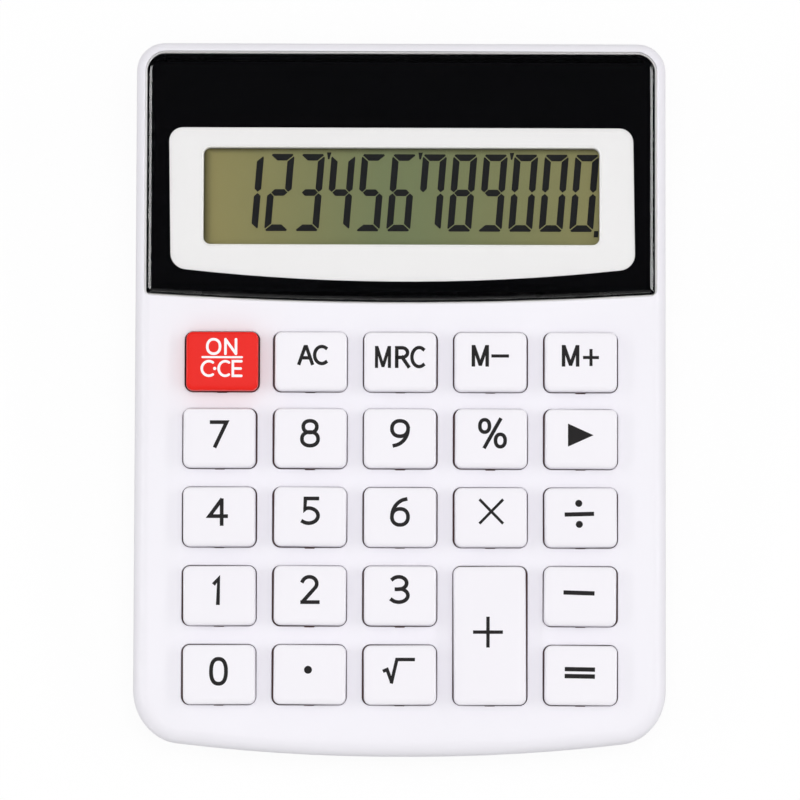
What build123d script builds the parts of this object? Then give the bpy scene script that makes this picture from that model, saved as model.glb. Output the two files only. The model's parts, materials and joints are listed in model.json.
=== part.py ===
from build123d import *
from math import asin, atan2, cos, degrees, radians, sin, sqrt, tan
import os

os.makedirs("parts", exist_ok=True)

# Desk calculator with a sloping face. X runs to the right, Y towards the display end and
# Z up. The origin is on the table, under the middle of the case.

# Case
body_width = 106.2
body_length = 142.0  # along the sloping face
rear_corner_radius = 5.6
front_corner_radius = 9.4
front_bow_radius = 365.0
edge_round = 3.2
case_wall = 2.0
top_wall = 2.0
rim_depth = 8.5  # face to the parting line
side_draft = 1.0  # degrees
lip_wall = 1.0
lip_height = 1.2
lip_gap = 0.15
overrun = 6.0  # every cut runs this far past its faces

# Display: margins between the case, the lens, the white frame and the window
lens_side_margin = 2.1
lens_rear_margin = 2.15
lens_rear_radius = 3.9
lens_front_radius = 1.0
lens_bow_radius = 760.0
lens_thickness = 1.9
lens_bevel = 0.5
lens_gap = 0.35
mask_thickness = 0.15
pocket_depth = 1.85
pocket_floor = 1.6
mask_edge_gap = 0.3
frame_side_margin = 4.4
frame_rear_margin = 14.95
frame_front_margin = 4.25
frame_rear_radius = 2.8
frame_front_radius = 3.3
frame_bow_radius = 403.0
window_side_margin = 7.0
window_rear_margin = 4.05
window_front_margin = 7.5
window_length = 19.5
window_radius = 1.4

# Keys: the field of openings fills the face in front of the lens
column_count = 5
row_count = 5
field_side_margin = 9.8
field_front_margin = 9.125
field_rear_margin = 5.725  # to the lens
web_width = 3.4
web_length = 3.75
opening_radius = 1.7
key_gap = 0.22
key_rise = 2.8  # key top over the face
key_travel = 1.2
key_bevel = 0.5
key_top_wall = 1.2
key_side_wall = 1.2
flange_overlap = 0.65
flange_thickness = 0.8
flange_gap = 0.1
flange_corner = 1.2
stem_width = 4.4
stem_length = 4.4
stem_rib = 1.2
notch_width = 2.0
notch_depth = 0.4
rib_width = 1.5
rib_gap = 0.15

# Silicone keypad and circuit board
board_thickness = 1.2
board_side_margin = 10.7
board_front_margin = 8.1
board_tub_margin = 1.9
board_corner_radius = 1.5
sheet_thickness = 0.6
sheet_margin = 0.6  # the sheet stops this far inside the board's edges
sheet_overhang = 1.7  # and runs this far past the rear row of openings
dome_base = 8.0
dome_top = 5.2
dome_rest = 1.65  # what is left of the dome's height when its key is down
dome_gap = 0.05  # key stem to dome
post_radius = 1.7
post_hole_radius = 0.75
post_clearance = 0.4
board_screw_head_radius = 1.9
board_screw_head = 1.2
board_screw_shank_radius = 0.75
board_screw_grip = 2.4  # shank length inside the post
board_hole_radius = 1.1

# Liquid crystal panel
glass_side_overlap = 2.4
glass_end_overlap = 2.25
glass_thickness = 1.1
ledge_length = 2.6  # bare contact ledge of the front glass
film_thickness = 0.2
film_margin = 1.0
pad_margin = 2.0
connector_margin = 2.0
connector_length = 1.8
rib_clearance = 0.2
panel_rib_wall = 1.2
panel_rib_height = 2.4
post_rib_gap = 0.6

# Case screws
boss_radius = 2.4
boss_hole_radius = 0.95
boss_floor = 3.9  # depth under the face where the screw holes stop
well_radius = 2.6
well_wall = 1.5
well_ledge = 1.6
screw_head_radius = 2.3
screw_head = 1.5
screw_shank_radius = 0.95
screw_shank = 5.8
screw_clearance = 0.35
front_screw_side_margin = 26.1
front_screw_margin = 5.7
rear_screw_side_margin = 7.0
rear_screw_margin = 9.0

# Base
foot_proud = 1.0
foot_sink = 1.0
foot_radius = 4.0
foot_gap = 0.1
rear_foot_door_margin = 6.6
front_foot_side_margin = 17.9
front_foot_margin = 11.5
rear_foot_margin = 21.0
base_wall = 2.2
front_base_height = 2.7  # base under the parting line at the front
base_draft = 8.0  # degrees
base_step = 0.15  # the base stands back this far at the parting line
base_bevel = 1.0

# Battery and its tub
cell_radius = 7.1
cell_length = 49.2
nub_radius = 2.7
nub_length = 1.3
cell_gap = 0.4
tub_wall = 2.0
tub_rear_margin = 3.1
tub_headroom = 2.3  # over the tub, to the floor of the display
spring_room = 3.9
contact_thickness = 0.4
contact_width = 9.0
contact_height = 9.0
contact_tab_width = 3.0
contact_tab_length = 2.6
leaf_bend_radius = 1.4
slot_gap = 0.1
wire_radius = 0.5
wire_sides = 6
wire_reach = 1.9
wire_board_margin = 5.0
wire_drop = 7.0
wire_bend = 1.5

# Battery door
door_side_overlap = 1.0
door_front_overlap = 0.3
door_gap = 0.2
door_lip_height = 6.0
tongue_width = 1.0
tongue_thickness = 0.8
tongue_gap = 0.15
grip_count = 4
grip_pitch = 2.0
grip_width = 0.8
grip_depth = 0.4
grip_half_length = 8.0

# Parts on the circuit board
chip_radius = 6.0
chip_height = 1.6
chip_front_margin = 54.9
capacitor_radius = 2.5
capacitor_length = 5.5
capacitor_side_margin = 22.4
capacitor_rear_margin = 27.0
resistor_length = 3.2
resistor_width = 1.6
resistor_height = 0.6
resistor_pitch = 4.0
resistor_count = 3
resistor_side_margin = 18.4
resistor_rear_margin = 25.0


# Layout on the face, from the case's outline inwards
half_width = body_width / 2
half_length = body_length / 2
lens_half_width = half_width - lens_side_margin
lens_rear = half_length - lens_rear_margin
frame_half_width = lens_half_width - frame_side_margin
frame_rear = lens_rear - frame_rear_margin
window_width = 2 * (frame_half_width - window_side_margin)
window_middle = frame_rear - window_rear_margin - window_length / 2
frame_front = window_middle - window_length / 2 - window_front_margin
lens_front = frame_front - frame_front_margin
glass_width = window_width + 2 * glass_side_overlap
glass_length = window_length + 2 * glass_end_overlap
field_width = 2 * (half_width - field_side_margin)
field_rear = lens_front - field_rear_margin
field_front = field_front_margin - half_length
opening_width = (field_width - (column_count - 1) * web_width) / column_count
opening_length = (field_rear - field_front - (row_count - 1) * web_length) / row_count
column_pitch = opening_width + web_width
row_pitch = opening_length + web_length

# Layout inside the base, and the tilt that the battery gives the face
tub_radius = cell_radius + cell_gap
cell_y = half_length - tub_rear_margin - tub_radius
base_top = foot_proud + base_wall
floor_depth = pocket_depth + pocket_floor
front_height = foot_proud + front_base_height + rim_depth
cell_height = base_top + 2 * tub_radius + tub_wall + tub_headroom + floor_depth
tilt = asin((cell_height - front_height) / (half_length + cell_y))
face_mid_height = front_height + half_length * sin(tilt)
tub_half_length = (cell_length + nub_length + spring_room) / 2 + contact_thickness
tab_end = tub_half_length + contact_tab_length
wire_x = tab_end + wire_reach
door_half_width = tub_half_length + door_side_overlap
door_front = cell_y - tub_radius - door_front_overlap
board_half_width = half_width - board_side_margin
board_front = board_front_margin - half_length
board_rear = cell_y - tub_radius - board_tub_margin
wire_y = board_rear - wire_board_margin

# Planes that follow the face
rim_grow = rim_depth * tan(radians(side_draft))
wall_grow = (rim_depth - edge_round) * tan(radians(side_draft))
face_shift = -(wall_grow * cos(tilt) + (rim_depth + edge_round) * sin(tilt)) / 2
flange_top = top_wall + flange_gap
flange_bottom = flange_top + flange_thickness
dome_height = key_travel + dome_rest
board_depth = flange_bottom + dome_gap + dome_height + sheet_thickness
face = Plane(
    origin=(0, face_shift, face_mid_height),
    x_dir=(1, 0, 0),
    z_dir=(0, -sin(tilt), cos(tilt)),
)


def under_face(depth):
    return face.offset(-depth)


# Plans with parallel sides, a straight rear edge and a front edge that bows outwards
case_plan = {
    "half": half_width,
    "rear": half_length,
    "front": -half_length,
    "rear_round": rear_corner_radius,
    "front_round": front_corner_radius,
    "bow": front_bow_radius,
}
lens_plan = {
    "half": lens_half_width,
    "rear": lens_rear,
    "front": lens_front,
    "rear_round": lens_rear_radius,
    "front_round": lens_front_radius,
    "bow": lens_bow_radius,
}
frame_plan = {
    "half": frame_half_width,
    "rear": frame_rear,
    "front": frame_front,
    "rear_round": frame_rear_radius,
    "front_round": frame_front_radius,
    "bow": frame_bow_radius,
}


def draw_plan(plan, inset=0, mode=Mode.ADD):
    half = plan["half"] - inset
    rear = plan["rear"] - inset
    rear_round = plan["rear_round"] - inset
    front_round = plan["front_round"] - inset
    bow = plan["bow"] - inset
    bow_y = plan["front"] + plan["bow"]
    corner_x = half - front_round
    corner_y = bow_y - sqrt((bow - front_round) ** 2 - corner_x**2)
    lean = degrees(atan2(corner_x, bow_y - corner_y))
    with BuildLine() as border:
        Line((-half, rear - rear_round), (-half, corner_y))
        CenterArc((-corner_x, corner_y), front_round, 180, 90 - lean)
        CenterArc((0, bow_y), bow, -90 - lean, 2 * lean)
        CenterArc((corner_x, corner_y), front_round, lean - 90, 90 - lean)
        Line((half, corner_y), (half, rear - rear_round))
        CenterArc((half - rear_round, rear - rear_round), rear_round, 0, 90)
        Line((half - rear_round, rear), (rear_round - half, rear))
        CenterArc((rear_round - half, rear - rear_round), rear_round, 90, 90)
    make_face(border.edges(), mode=mode)


# Keys: column and row from the rear left, and how many rows the key spans
key_table = {
    "key_on_clear": (0, 0, 1),
    "key_all_clear": (1, 0, 1),
    "key_memory_recall": (2, 0, 1),
    "key_memory_minus": (3, 0, 1),
    "key_memory_plus": (4, 0, 1),
    "key_7": (0, 1, 1),
    "key_8": (1, 1, 1),
    "key_9": (2, 1, 1),
    "key_percent": (3, 1, 1),
    "key_step_back": (4, 1, 1),
    "key_4": (0, 2, 1),
    "key_5": (1, 2, 1),
    "key_6": (2, 2, 1),
    "key_times": (3, 2, 1),
    "key_divide": (4, 2, 1),
    "key_1": (0, 3, 1),
    "key_2": (1, 3, 1),
    "key_3": (2, 3, 1),
    "key_plus": (3, 3, 2),
    "key_minus": (4, 3, 1),
    "key_0": (0, 4, 1),
    "key_point": (1, 4, 1),
    "key_root": (2, 4, 1),
    "key_equals": (4, 4, 1),
}


def key_place(column, row, span):
    x = (column - (column_count - 1) / 2) * column_pitch
    y = field_rear - opening_length / 2 - (row + (span - 1) / 2) * row_pitch
    length = opening_length + (span - 1) * row_pitch
    return x, y, length


# Places between the keys, as column and row steps, where a post holds the circuit board
web_table = [(0, 0), (3, 0), (0, 2), (3, 2)]


def web_place(column, row):
    x = (column - (column_count - 2) / 2) * column_pitch
    y = field_rear + web_length / 2 - (row + 1) * row_pitch
    return x, y


web_posts = [web_place(column, row) for column, row in web_table]
panel_front = window_middle - glass_length / 2
panel_post_x = board_half_width - 2 * post_radius
panel_post_y = panel_front - rib_clearance - panel_rib_wall - post_rib_gap - post_radius
panel_posts = [(-panel_post_x, panel_post_y), (panel_post_x, panel_post_y)]
case_screws = [
    (side * x, y)
    for side in (-1, 1)
    for x, y in (
        (half_width - front_screw_side_margin, front_screw_margin - half_length),
        (half_width - rear_screw_side_margin, half_length - rear_screw_margin),
    )
]
feet = [
    (side * x, y)
    for side in (-1, 1)
    for x, y in (
        (half_width - front_foot_side_margin, front_foot_margin - half_length),
        (door_half_width + rear_foot_door_margin, half_length - rear_foot_margin),
    )
]

# Top housing, seen from the front: outer form, then the hollow, then what it carries
with BuildPart() as top_housing:
    with BuildSketch(under_face(rim_depth)):
        draw_plan(case_plan, -rim_grow)
    extrude(amount=rim_depth, taper=side_draft)
    rim = top_housing.faces().filter_by(face).sort_by(Axis.Z)[-1]
    fillet(rim.edges(), radius=edge_round)

    # hollow under the display, then the deeper hollow under the keys
    with BuildSketch(under_face(rim_depth + overrun)):
        draw_plan(case_plan, case_wall)
    extrude(amount=rim_depth + overrun - floor_depth, mode=Mode.SUBTRACT)
    with BuildSketch(under_face(rim_depth + overrun)):
        draw_plan(case_plan, case_wall)
        draw_plan(lens_plan, -lens_gap - pocket_floor, mode=Mode.SUBTRACT)
    extrude(amount=rim_depth + overrun - top_wall, mode=Mode.SUBTRACT)

    # rebate that takes the lip of the bottom housing
    with BuildSketch(under_face(rim_depth + overrun)):
        draw_plan(case_plan, lip_wall)
    extrude(amount=overrun + lip_height + lip_gap, mode=Mode.SUBTRACT)

    # pocket for the lens and window for the panel
    with BuildSketch(face.offset(overrun)):
        draw_plan(lens_plan, -lens_gap)
    extrude(amount=-overrun - pocket_depth, mode=Mode.SUBTRACT)
    with BuildSketch(face.offset(overrun)):
        with Locations((0, window_middle)):
            RectangleRounded(window_width, window_length, window_radius)
    extrude(amount=-overrun - floor_depth, mode=Mode.SUBTRACT)

    # key openings with their guide notches
    with BuildSketch(face.offset(overrun)):
        for column, row, span in key_table.values():
            x, y, length = key_place(column, row, span)
            with Locations((x, y)):
                RectangleRounded(opening_width, length, opening_radius)
            with Locations((x, y - length / 2)):
                Rectangle(notch_width, 2 * notch_depth)
    extrude(amount=-overrun - top_wall, mode=Mode.SUBTRACT)

    # posts for the circuit board and bosses for the case screws
    with BuildSketch(under_face(board_depth)):
        with Locations(*web_posts):
            Circle(post_radius)
    extrude(amount=board_depth - top_wall / 2)
    with BuildSketch(under_face(board_depth)):
        with Locations(*panel_posts):
            Circle(post_radius)
    extrude(amount=board_depth - floor_depth + pocket_floor / 2)
    with BuildSketch(under_face(board_depth)):
        with Locations(*web_posts, *panel_posts):
            Circle(post_hole_radius)
    extrude(amount=board_screw_grip, mode=Mode.SUBTRACT)
    with BuildSketch(under_face(rim_depth)):
        with Locations(*case_screws):
            Circle(boss_radius)
    extrude(amount=rim_depth - floor_depth + pocket_floor / 2)
    with BuildSketch(under_face(floor_depth)):
        with Locations(*[place for place in case_screws if place[1] < lens_front]):
            Circle(boss_radius)
    extrude(amount=floor_depth - top_wall / 2)
    with BuildSketch(under_face(rim_depth)):
        with Locations(*case_screws):
            Circle(boss_hole_radius)
    extrude(amount=rim_depth - boss_floor, mode=Mode.SUBTRACT)

    # ribs round the liquid crystal panel
    rib_width_out = glass_width + 2 * (rib_clearance + panel_rib_wall)
    rib_length_out = glass_length + 2 * (rib_clearance + panel_rib_wall)
    with BuildSketch(under_face(floor_depth + panel_rib_height)):
        with Locations((0, window_middle)):
            Rectangle(rib_width_out, rib_length_out)
            Rectangle(
                glass_width + 2 * rib_clearance,
                glass_length + 2 * rib_clearance,
                mode=Mode.SUBTRACT,
            )
    extrude(amount=panel_rib_height + pocket_floor / 2)
top_housing.part.label = "top_housing"
export_step(top_housing.part, "parts/top_housing.step")

# Display lens: clear sheet with a bevelled edge
lens_base = pocket_depth - mask_thickness
with BuildPart() as display_lens:
    with BuildSketch(under_face(lens_base)):
        draw_plan(lens_plan)
    extrude(amount=lens_thickness)
    lens_top = display_lens.faces().filter_by(face).sort_by(Axis.Z)[-1]
    chamfer(lens_top.edges(), length=lens_bevel)
display_lens.part.label = "display_lens"
export_step(display_lens.part, "parts/display_lens.step")

# Display mask: black film with an opening that shows the white frame
with BuildPart() as display_mask:
    with BuildSketch(under_face(pocket_depth)):
        draw_plan(lens_plan, mask_edge_gap)
        draw_plan(frame_plan, mode=Mode.SUBTRACT)
    extrude(amount=mask_thickness)
display_mask.part.label = "display_mask"
export_step(display_mask.part, "parts/display_mask.step")


# Liquid crystal panel, from the window downwards
def make_layer(name, depth, thickness, width, front, rear):
    with BuildPart() as layer:
        with BuildSketch(under_face(depth + thickness)):
            with Locations((0, (front + rear) / 2)):
                Rectangle(width, rear - front)
        extrude(amount=thickness)
    layer.part.label = name
    export_step(layer.part, f"parts/{name}.step")


panel_rear = window_middle + glass_length / 2
ledge = panel_front + ledge_length
front_glass_depth = floor_depth + film_thickness
rear_glass_depth = front_glass_depth + glass_thickness
reflector_depth = rear_glass_depth + glass_thickness
pad_depth = reflector_depth + film_thickness
connector_front = panel_front + (ledge_length - connector_length) / 2
make_layer(
    "lcd_front_polariser",
    floor_depth,
    film_thickness,
    glass_width - 2 * film_margin,
    panel_front + film_margin,
    panel_rear - film_margin,
)
make_layer(
    "lcd_front_glass", front_glass_depth, glass_thickness, glass_width, panel_front, panel_rear
)
make_layer("lcd_rear_glass", rear_glass_depth, glass_thickness, glass_width, ledge, panel_rear)
make_layer(
    "lcd_reflector",
    reflector_depth,
    film_thickness,
    glass_width - 2 * film_margin,
    ledge + film_margin,
    panel_rear - film_margin,
)
make_layer(
    "lcd_foam_pad",
    pad_depth,
    board_depth - pad_depth,
    glass_width - 2 * pad_margin,
    ledge + pad_margin,
    board_rear - pad_margin,
)
make_layer(
    "lcd_connector_strip",
    rear_glass_depth,
    board_depth - rear_glass_depth,
    glass_width - 2 * connector_margin,
    connector_front,
    connector_front + connector_length,
)

# Keycaps: hollow, with a flange that holds each one under the face
def make_key(name, column, row, span):
    x, y, opening = key_place(column, row, span)
    width = opening_width - 2 * key_gap
    length = opening - 2 * key_gap
    radius = opening_radius - key_gap
    height = key_rise + flange_top
    with BuildPart() as cap:
        with BuildSketch(under_face(flange_top)):
            with Locations((x, y)):
                RectangleRounded(width, length, radius)
        extrude(amount=height)
        top = cap.faces().filter_by(face).sort_by(Axis.Z)[-1]
        chamfer(top.edges(), length=key_bevel)
        with BuildSketch(under_face(flange_bottom)):
            with Locations((x, y)):
                flange = Rectangle(
                    opening_width + 2 * flange_overlap, opening + 2 * flange_overlap
                )
            chamfer(flange.vertices(), length=flange_corner)
        extrude(amount=flange_thickness)
        # guide rib that runs in the notch of the opening
        with BuildSketch(under_face(flange_top)):
            with Locations((x, y - opening / 2 + key_gap)):
                Rectangle(rib_width, 2 * (notch_depth + key_gap - rib_gap))
        extrude(amount=flange_top)
        # hollow inside, with a cross-shaped stem that presses the dome
        with BuildSketch(under_face(flange_bottom)):
            with Locations((x, y)):
                Rectangle(width - 2 * key_side_wall, length - 2 * key_side_wall)
        extrude(amount=flange_bottom + key_rise - key_top_wall, mode=Mode.SUBTRACT)
        with BuildSketch(under_face(flange_bottom)):
            with Locations((x, y)):
                Rectangle(stem_width, stem_rib)
                Rectangle(stem_rib, stem_length)
        extrude(amount=flange_bottom + key_rise - key_top_wall / 2)
    cap.part.label = name
    export_step(cap.part, f"parts/{name}.step")


for key_name, (key_column, key_row, key_span) in key_table.items():
    make_key(key_name, key_column, key_row, key_span)

# Silicone keypad: one sheet on the board with a dome under each key
sheet_front = board_front + sheet_margin
sheet_rear = field_rear + sheet_overhang
dome_draft = degrees(atan2((dome_base - dome_top) / 2, dome_height))
key_middles = [key_place(*entry)[:2] for entry in key_table.values()]
with BuildPart() as keypad_membrane:
    with BuildSketch(under_face(board_depth)):
        with Locations((0, (sheet_front + sheet_rear) / 2)):
            Rectangle(2 * (board_half_width - sheet_margin), sheet_rear - sheet_front)
        with Locations(*web_posts):
            Circle(post_radius + post_clearance, mode=Mode.SUBTRACT)
    extrude(amount=sheet_thickness)
    with BuildSketch(under_face(board_depth - sheet_thickness)):
        with Locations(*key_middles):
            Rectangle(dome_base, dome_base)
    extrude(amount=dome_height, taper=dome_draft)
keypad_membrane.part.label = "keypad_membrane"
export_step(keypad_membrane.part, "parts/keypad_membrane.step")

# Circuit board
with BuildPart() as circuit_board:
    with BuildSketch(under_face(board_depth + board_thickness)):
        with Locations((0, (board_front + board_rear) / 2)):
            RectangleRounded(2 * board_half_width, board_rear - board_front, board_corner_radius)
        with Locations(*web_posts, *panel_posts):
            Circle(board_hole_radius, mode=Mode.SUBTRACT)
    extrude(amount=board_thickness)
circuit_board.part.label = "circuit_board"
export_step(circuit_board.part, "parts/circuit_board.step")
board_bottom = board_depth + board_thickness


# Screws, each group as separate solids in one piece list
def make_screws(name, places, seat, head_radius, head, shank_radius, shank):
    with BuildPart() as screws:
        with BuildSketch(under_face(seat)):
            with Locations(*places):
                Circle(head_radius)
        extrude(amount=-head)
        with BuildSketch(under_face(seat)):
            with Locations(*places):
                Circle(shank_radius)
        extrude(amount=shank)
    screws.part.label = name
    export_step(screws.part, f"parts/{name}.step")


make_screws(
    "board_screws",
    web_posts + panel_posts,
    board_bottom,
    board_screw_head_radius,
    board_screw_head,
    board_screw_shank_radius,
    board_thickness + board_screw_grip,
)
screw_seat = rim_depth + well_ledge
make_screws(
    "case_screws",
    case_screws,
    screw_seat,
    screw_head_radius,
    screw_head,
    screw_shank_radius,
    screw_shank,
)

# Parts soldered under the board
with BuildPart() as processor_blob:
    with BuildSketch(under_face(board_bottom)):
        with Locations((0, board_front + chip_front_margin)):
            Circle(chip_radius)
    extrude(amount=-chip_height)
    blob_rim = processor_blob.faces().filter_by(face).sort_by(Axis.Z)[0]
    chamfer(blob_rim.edges(), length=chip_height / 2)
processor_blob.part.label = "processor_blob"
export_step(processor_blob.part, "parts/processor_blob.step")

with BuildPart() as capacitor:
    with BuildSketch(under_face(board_bottom)):
        with Locations(
            (board_half_width - capacitor_side_margin, board_rear - capacitor_rear_margin)
        ):
            Circle(capacitor_radius)
    extrude(amount=-capacitor_length)
capacitor.part.label = "capacitor"
export_step(capacitor.part, "parts/capacitor.step")

with BuildPart() as resistors:
    with BuildSketch(under_face(board_bottom)):
        with Locations(
            (resistor_side_margin - board_half_width, board_rear - resistor_rear_margin)
        ):
            with GridLocations(0, resistor_pitch, 1, resistor_count):
                Rectangle(resistor_length, resistor_width)
    extrude(amount=-resistor_height)
resistors.part.label = "resistors"
export_step(resistors.part, "parts/resistors.step")


# Wedge under the parting line, closed below at a height over the table
def make_wedge(inset, height, bevel):
    with BuildPart() as wedge:
        with BuildSketch(under_face(rim_depth)):
            draw_plan(case_plan, inset)
        extrude(amount=-face_mid_height - overrun, taper=base_draft)
        split(bisect_by=Plane.XY.offset(height), keep=Keep.TOP)
        if bevel:
            chamfer(wedge.edges().group_by(Axis.Z)[0], length=bevel)
    return wedge.part


base_inset = base_step - rim_grow
base_form = make_wedge(base_inset, foot_proud, base_bevel)
base_hollow = make_wedge(base_inset + base_wall, base_top, 0)

# Battery tub, drawn in the view from the side
cell_z = base_top + tub_radius


def draw_tub(radius):
    with Locations((cell_y, cell_z)):
        Circle(radius)
    with Locations((cell_y, cell_z / 2)):
        Rectangle(2 * radius, cell_z)


tub_rear = cell_y + tub_radius
far_back = body_length  # well behind the case


# The door with its rear lip and side tongues, or grown by a gap, the space that it needs
def make_door_form(gap, tongue_room):
    half = door_half_width + gap
    front = door_front - gap
    tongue_middle = foot_proud + base_wall / 2
    tongue_half = tongue_thickness / 2 + tongue_room
    with BuildPart() as form:
        with BuildSketch(Plane.XY):
            with Locations((0, (front + far_back) / 2)):
                Rectangle(2 * half, far_back - front)
        extrude(amount=base_top + gap)
        with BuildSketch(Plane.XY):
            with Locations((0, (tub_rear + door_gap - gap + far_back) / 2)):
                Rectangle(2 * half, far_back - tub_rear - door_gap + gap)
        extrude(amount=foot_proud + door_lip_height + gap)
        with BuildSketch(Plane.XY.offset(tongue_middle - tongue_half)):
            with Locations((0, (front + far_back) / 2)):
                Rectangle(2 * (door_half_width + tongue_width + tongue_room), far_back - front)
        extrude(amount=2 * tongue_half)
    return form.part


with BuildPart() as base_space:
    add(base_form)
    with BuildSketch(under_face(rim_depth)):
        draw_plan(case_plan, case_wall + lip_gap)
    extrude(amount=rim_depth)

with BuildPart() as bottom_housing:
    add(base_form)
    add(base_hollow, mode=Mode.SUBTRACT)
    with BuildSketch(Plane.YZ):
        draw_tub(tub_radius + tub_wall)
    extrude(amount=tub_half_length + tub_wall, both=True)
    with BuildSketch(under_face(rim_depth)):
        with Locations(*case_screws):
            Circle(well_radius + well_wall)
    extrude(amount=-face_mid_height)
    add(base_space.part, mode=Mode.INTERSECT)

    # lip that enters the top housing
    with BuildSketch(under_face(rim_depth)):
        draw_plan(case_plan, lip_wall + lip_gap)
        draw_plan(case_plan, case_wall, mode=Mode.SUBTRACT)
    extrude(amount=lip_height)

    # screw wells and holes
    with BuildSketch(under_face(screw_seat)):
        with Locations(*case_screws):
            Circle(well_radius)
    extrude(amount=-face_mid_height, mode=Mode.SUBTRACT)
    with BuildSketch(under_face(screw_seat)):
        with Locations(*case_screws):
            Circle(screw_shank_radius + screw_clearance)
    extrude(amount=overrun, mode=Mode.SUBTRACT)

    # inside of the battery tub, slits for the contact tabs and the door's seat
    with BuildSketch(Plane.YZ):
        draw_tub(tub_radius)
    extrude(amount=tub_half_length, both=True, mode=Mode.SUBTRACT)
    with BuildSketch(Plane.YZ):
        with Locations((cell_y, cell_z + contact_height / 2)):
            Rectangle(contact_tab_width + 2 * slot_gap, contact_thickness + 2 * slot_gap)
    extrude(amount=tub_half_length + overrun, both=True, mode=Mode.SUBTRACT)
    add(make_door_form(door_gap, tongue_gap), mode=Mode.SUBTRACT)

    # recesses for the feet
    with BuildSketch(Plane.XY):
        with Locations(*feet):
            Circle(foot_radius + foot_gap)
    extrude(amount=foot_proud + foot_sink, mode=Mode.SUBTRACT)
bottom_housing.part.label = "bottom_housing"
export_step(bottom_housing.part, "parts/bottom_housing.step")

with BuildPart() as battery_door:
    add(make_door_form(0, 0))
    add(base_form, mode=Mode.INTERSECT)
    with BuildSketch(Plane.XY):
        with Locations((0, (door_front + tub_rear) / 2)):
            with GridLocations(0, grip_pitch, 1, grip_count):
                Rectangle(2 * grip_half_length, grip_width)
    extrude(amount=foot_proud + grip_depth, mode=Mode.SUBTRACT)
battery_door.part.label = "battery_door"
export_step(battery_door.part, "parts/battery_door.step")

# Rubber feet
with BuildPart() as rubber_feet:
    with BuildSketch(Plane.XY):
        with Locations(*feet):
            Circle(foot_radius)
    extrude(amount=foot_proud + foot_sink)
rubber_feet.part.label = "rubber_feet"
export_step(rubber_feet.part, "parts/rubber_feet.step")

# Battery, lying along X with its nub to the right
nub_end = tub_half_length - contact_thickness
can_end = nub_end - nub_length
with BuildPart() as battery:
    with BuildSketch(Plane.YZ.offset(can_end)):
        with Locations((cell_y, cell_z)):
            Circle(cell_radius)
    extrude(amount=-cell_length)
    with BuildSketch(Plane.YZ.offset(can_end)):
        with Locations((cell_y, cell_z)):
            Circle(nub_radius)
    extrude(amount=nub_length)
battery.part.label = "battery"
export_step(battery.part, "parts/battery.step")

# Contacts: strips that stand against the end walls, with a tab through a slit
contact_x = tub_half_length - contact_thickness / 2
contact_low = cell_z - contact_height / 2
contact_high = cell_z + contact_height / 2
bend = contact_thickness
touch_x = cell_length - can_end


def make_contact(name, side, spring):
    with BuildPart() as contact:
        with BuildSketch(Plane.XZ.offset(-cell_y)):
            with BuildLine():
                Line((side * contact_x, contact_low), (side * contact_x, contact_high - bend))
            trace(line_width=contact_thickness)
        extrude(amount=contact_width / 2, both=True)
        with BuildSketch(Plane.XZ.offset(-cell_y)):
            with BuildLine():
                FilletPolyline(
                    (side * contact_x, cell_z),
                    (side * contact_x, contact_high),
                    (side * tab_end, contact_high),
                    radius=bend,
                )
            trace(line_width=contact_thickness)
        extrude(amount=contact_tab_width / 2, both=True)
        if spring:
            touch = side * (touch_x + contact_thickness / 2)
            with BuildSketch(Plane.XZ.offset(-cell_y)):
                with BuildLine():
                    FilletPolyline(
                        (side * contact_x, cell_z),
                        (side * contact_x, contact_low),
                        (side * (contact_x - 2 * leaf_bend_radius), contact_low),
                        (touch, cell_z),
                        (touch, cell_z + leaf_bend_radius),
                        (side * (contact_x - leaf_bend_radius), contact_high - leaf_bend_radius),
                        radius=leaf_bend_radius / 2,
                    )
                trace(line_width=contact_thickness)
            extrude(amount=contact_tab_width / 2, both=True)
    contact.part.label = name
    export_step(contact.part, f"parts/{name}.step")


make_contact("battery_contact_positive", 1, False)
make_contact("battery_contact_negative", -1, True)


# Wires from the contact tabs to the underside of the circuit board
def make_wire(name, side):
    solder = face.from_local_coords((side * wire_x, wire_y, -board_bottom))
    below = face.from_local_coords((side * wire_x, wire_y, -board_bottom - wire_drop))
    start = (side * tab_end, cell_y, contact_high)
    corner = (side * wire_x, cell_y, contact_high)
    with BuildPart() as wire:
        with BuildLine() as route:
            FilletPolyline(start, corner, below, solder, radius=wire_bend)
        with BuildSketch(Plane(origin=start, z_dir=(side, 0, 0))):
            RegularPolygon(wire_radius, wire_sides)
        sweep(path=route.line)
    wire.part.label = name
    export_step(wire.part, f"parts/{name}.step")


make_wire("battery_wire_positive", 1)
make_wire("battery_wire_negative", -1)
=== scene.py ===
import json
from math import atan2, cos, hypot, pi, radians, sin, tan

import bmesh
import bpy
from mathutils import Matrix, Vector


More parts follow.
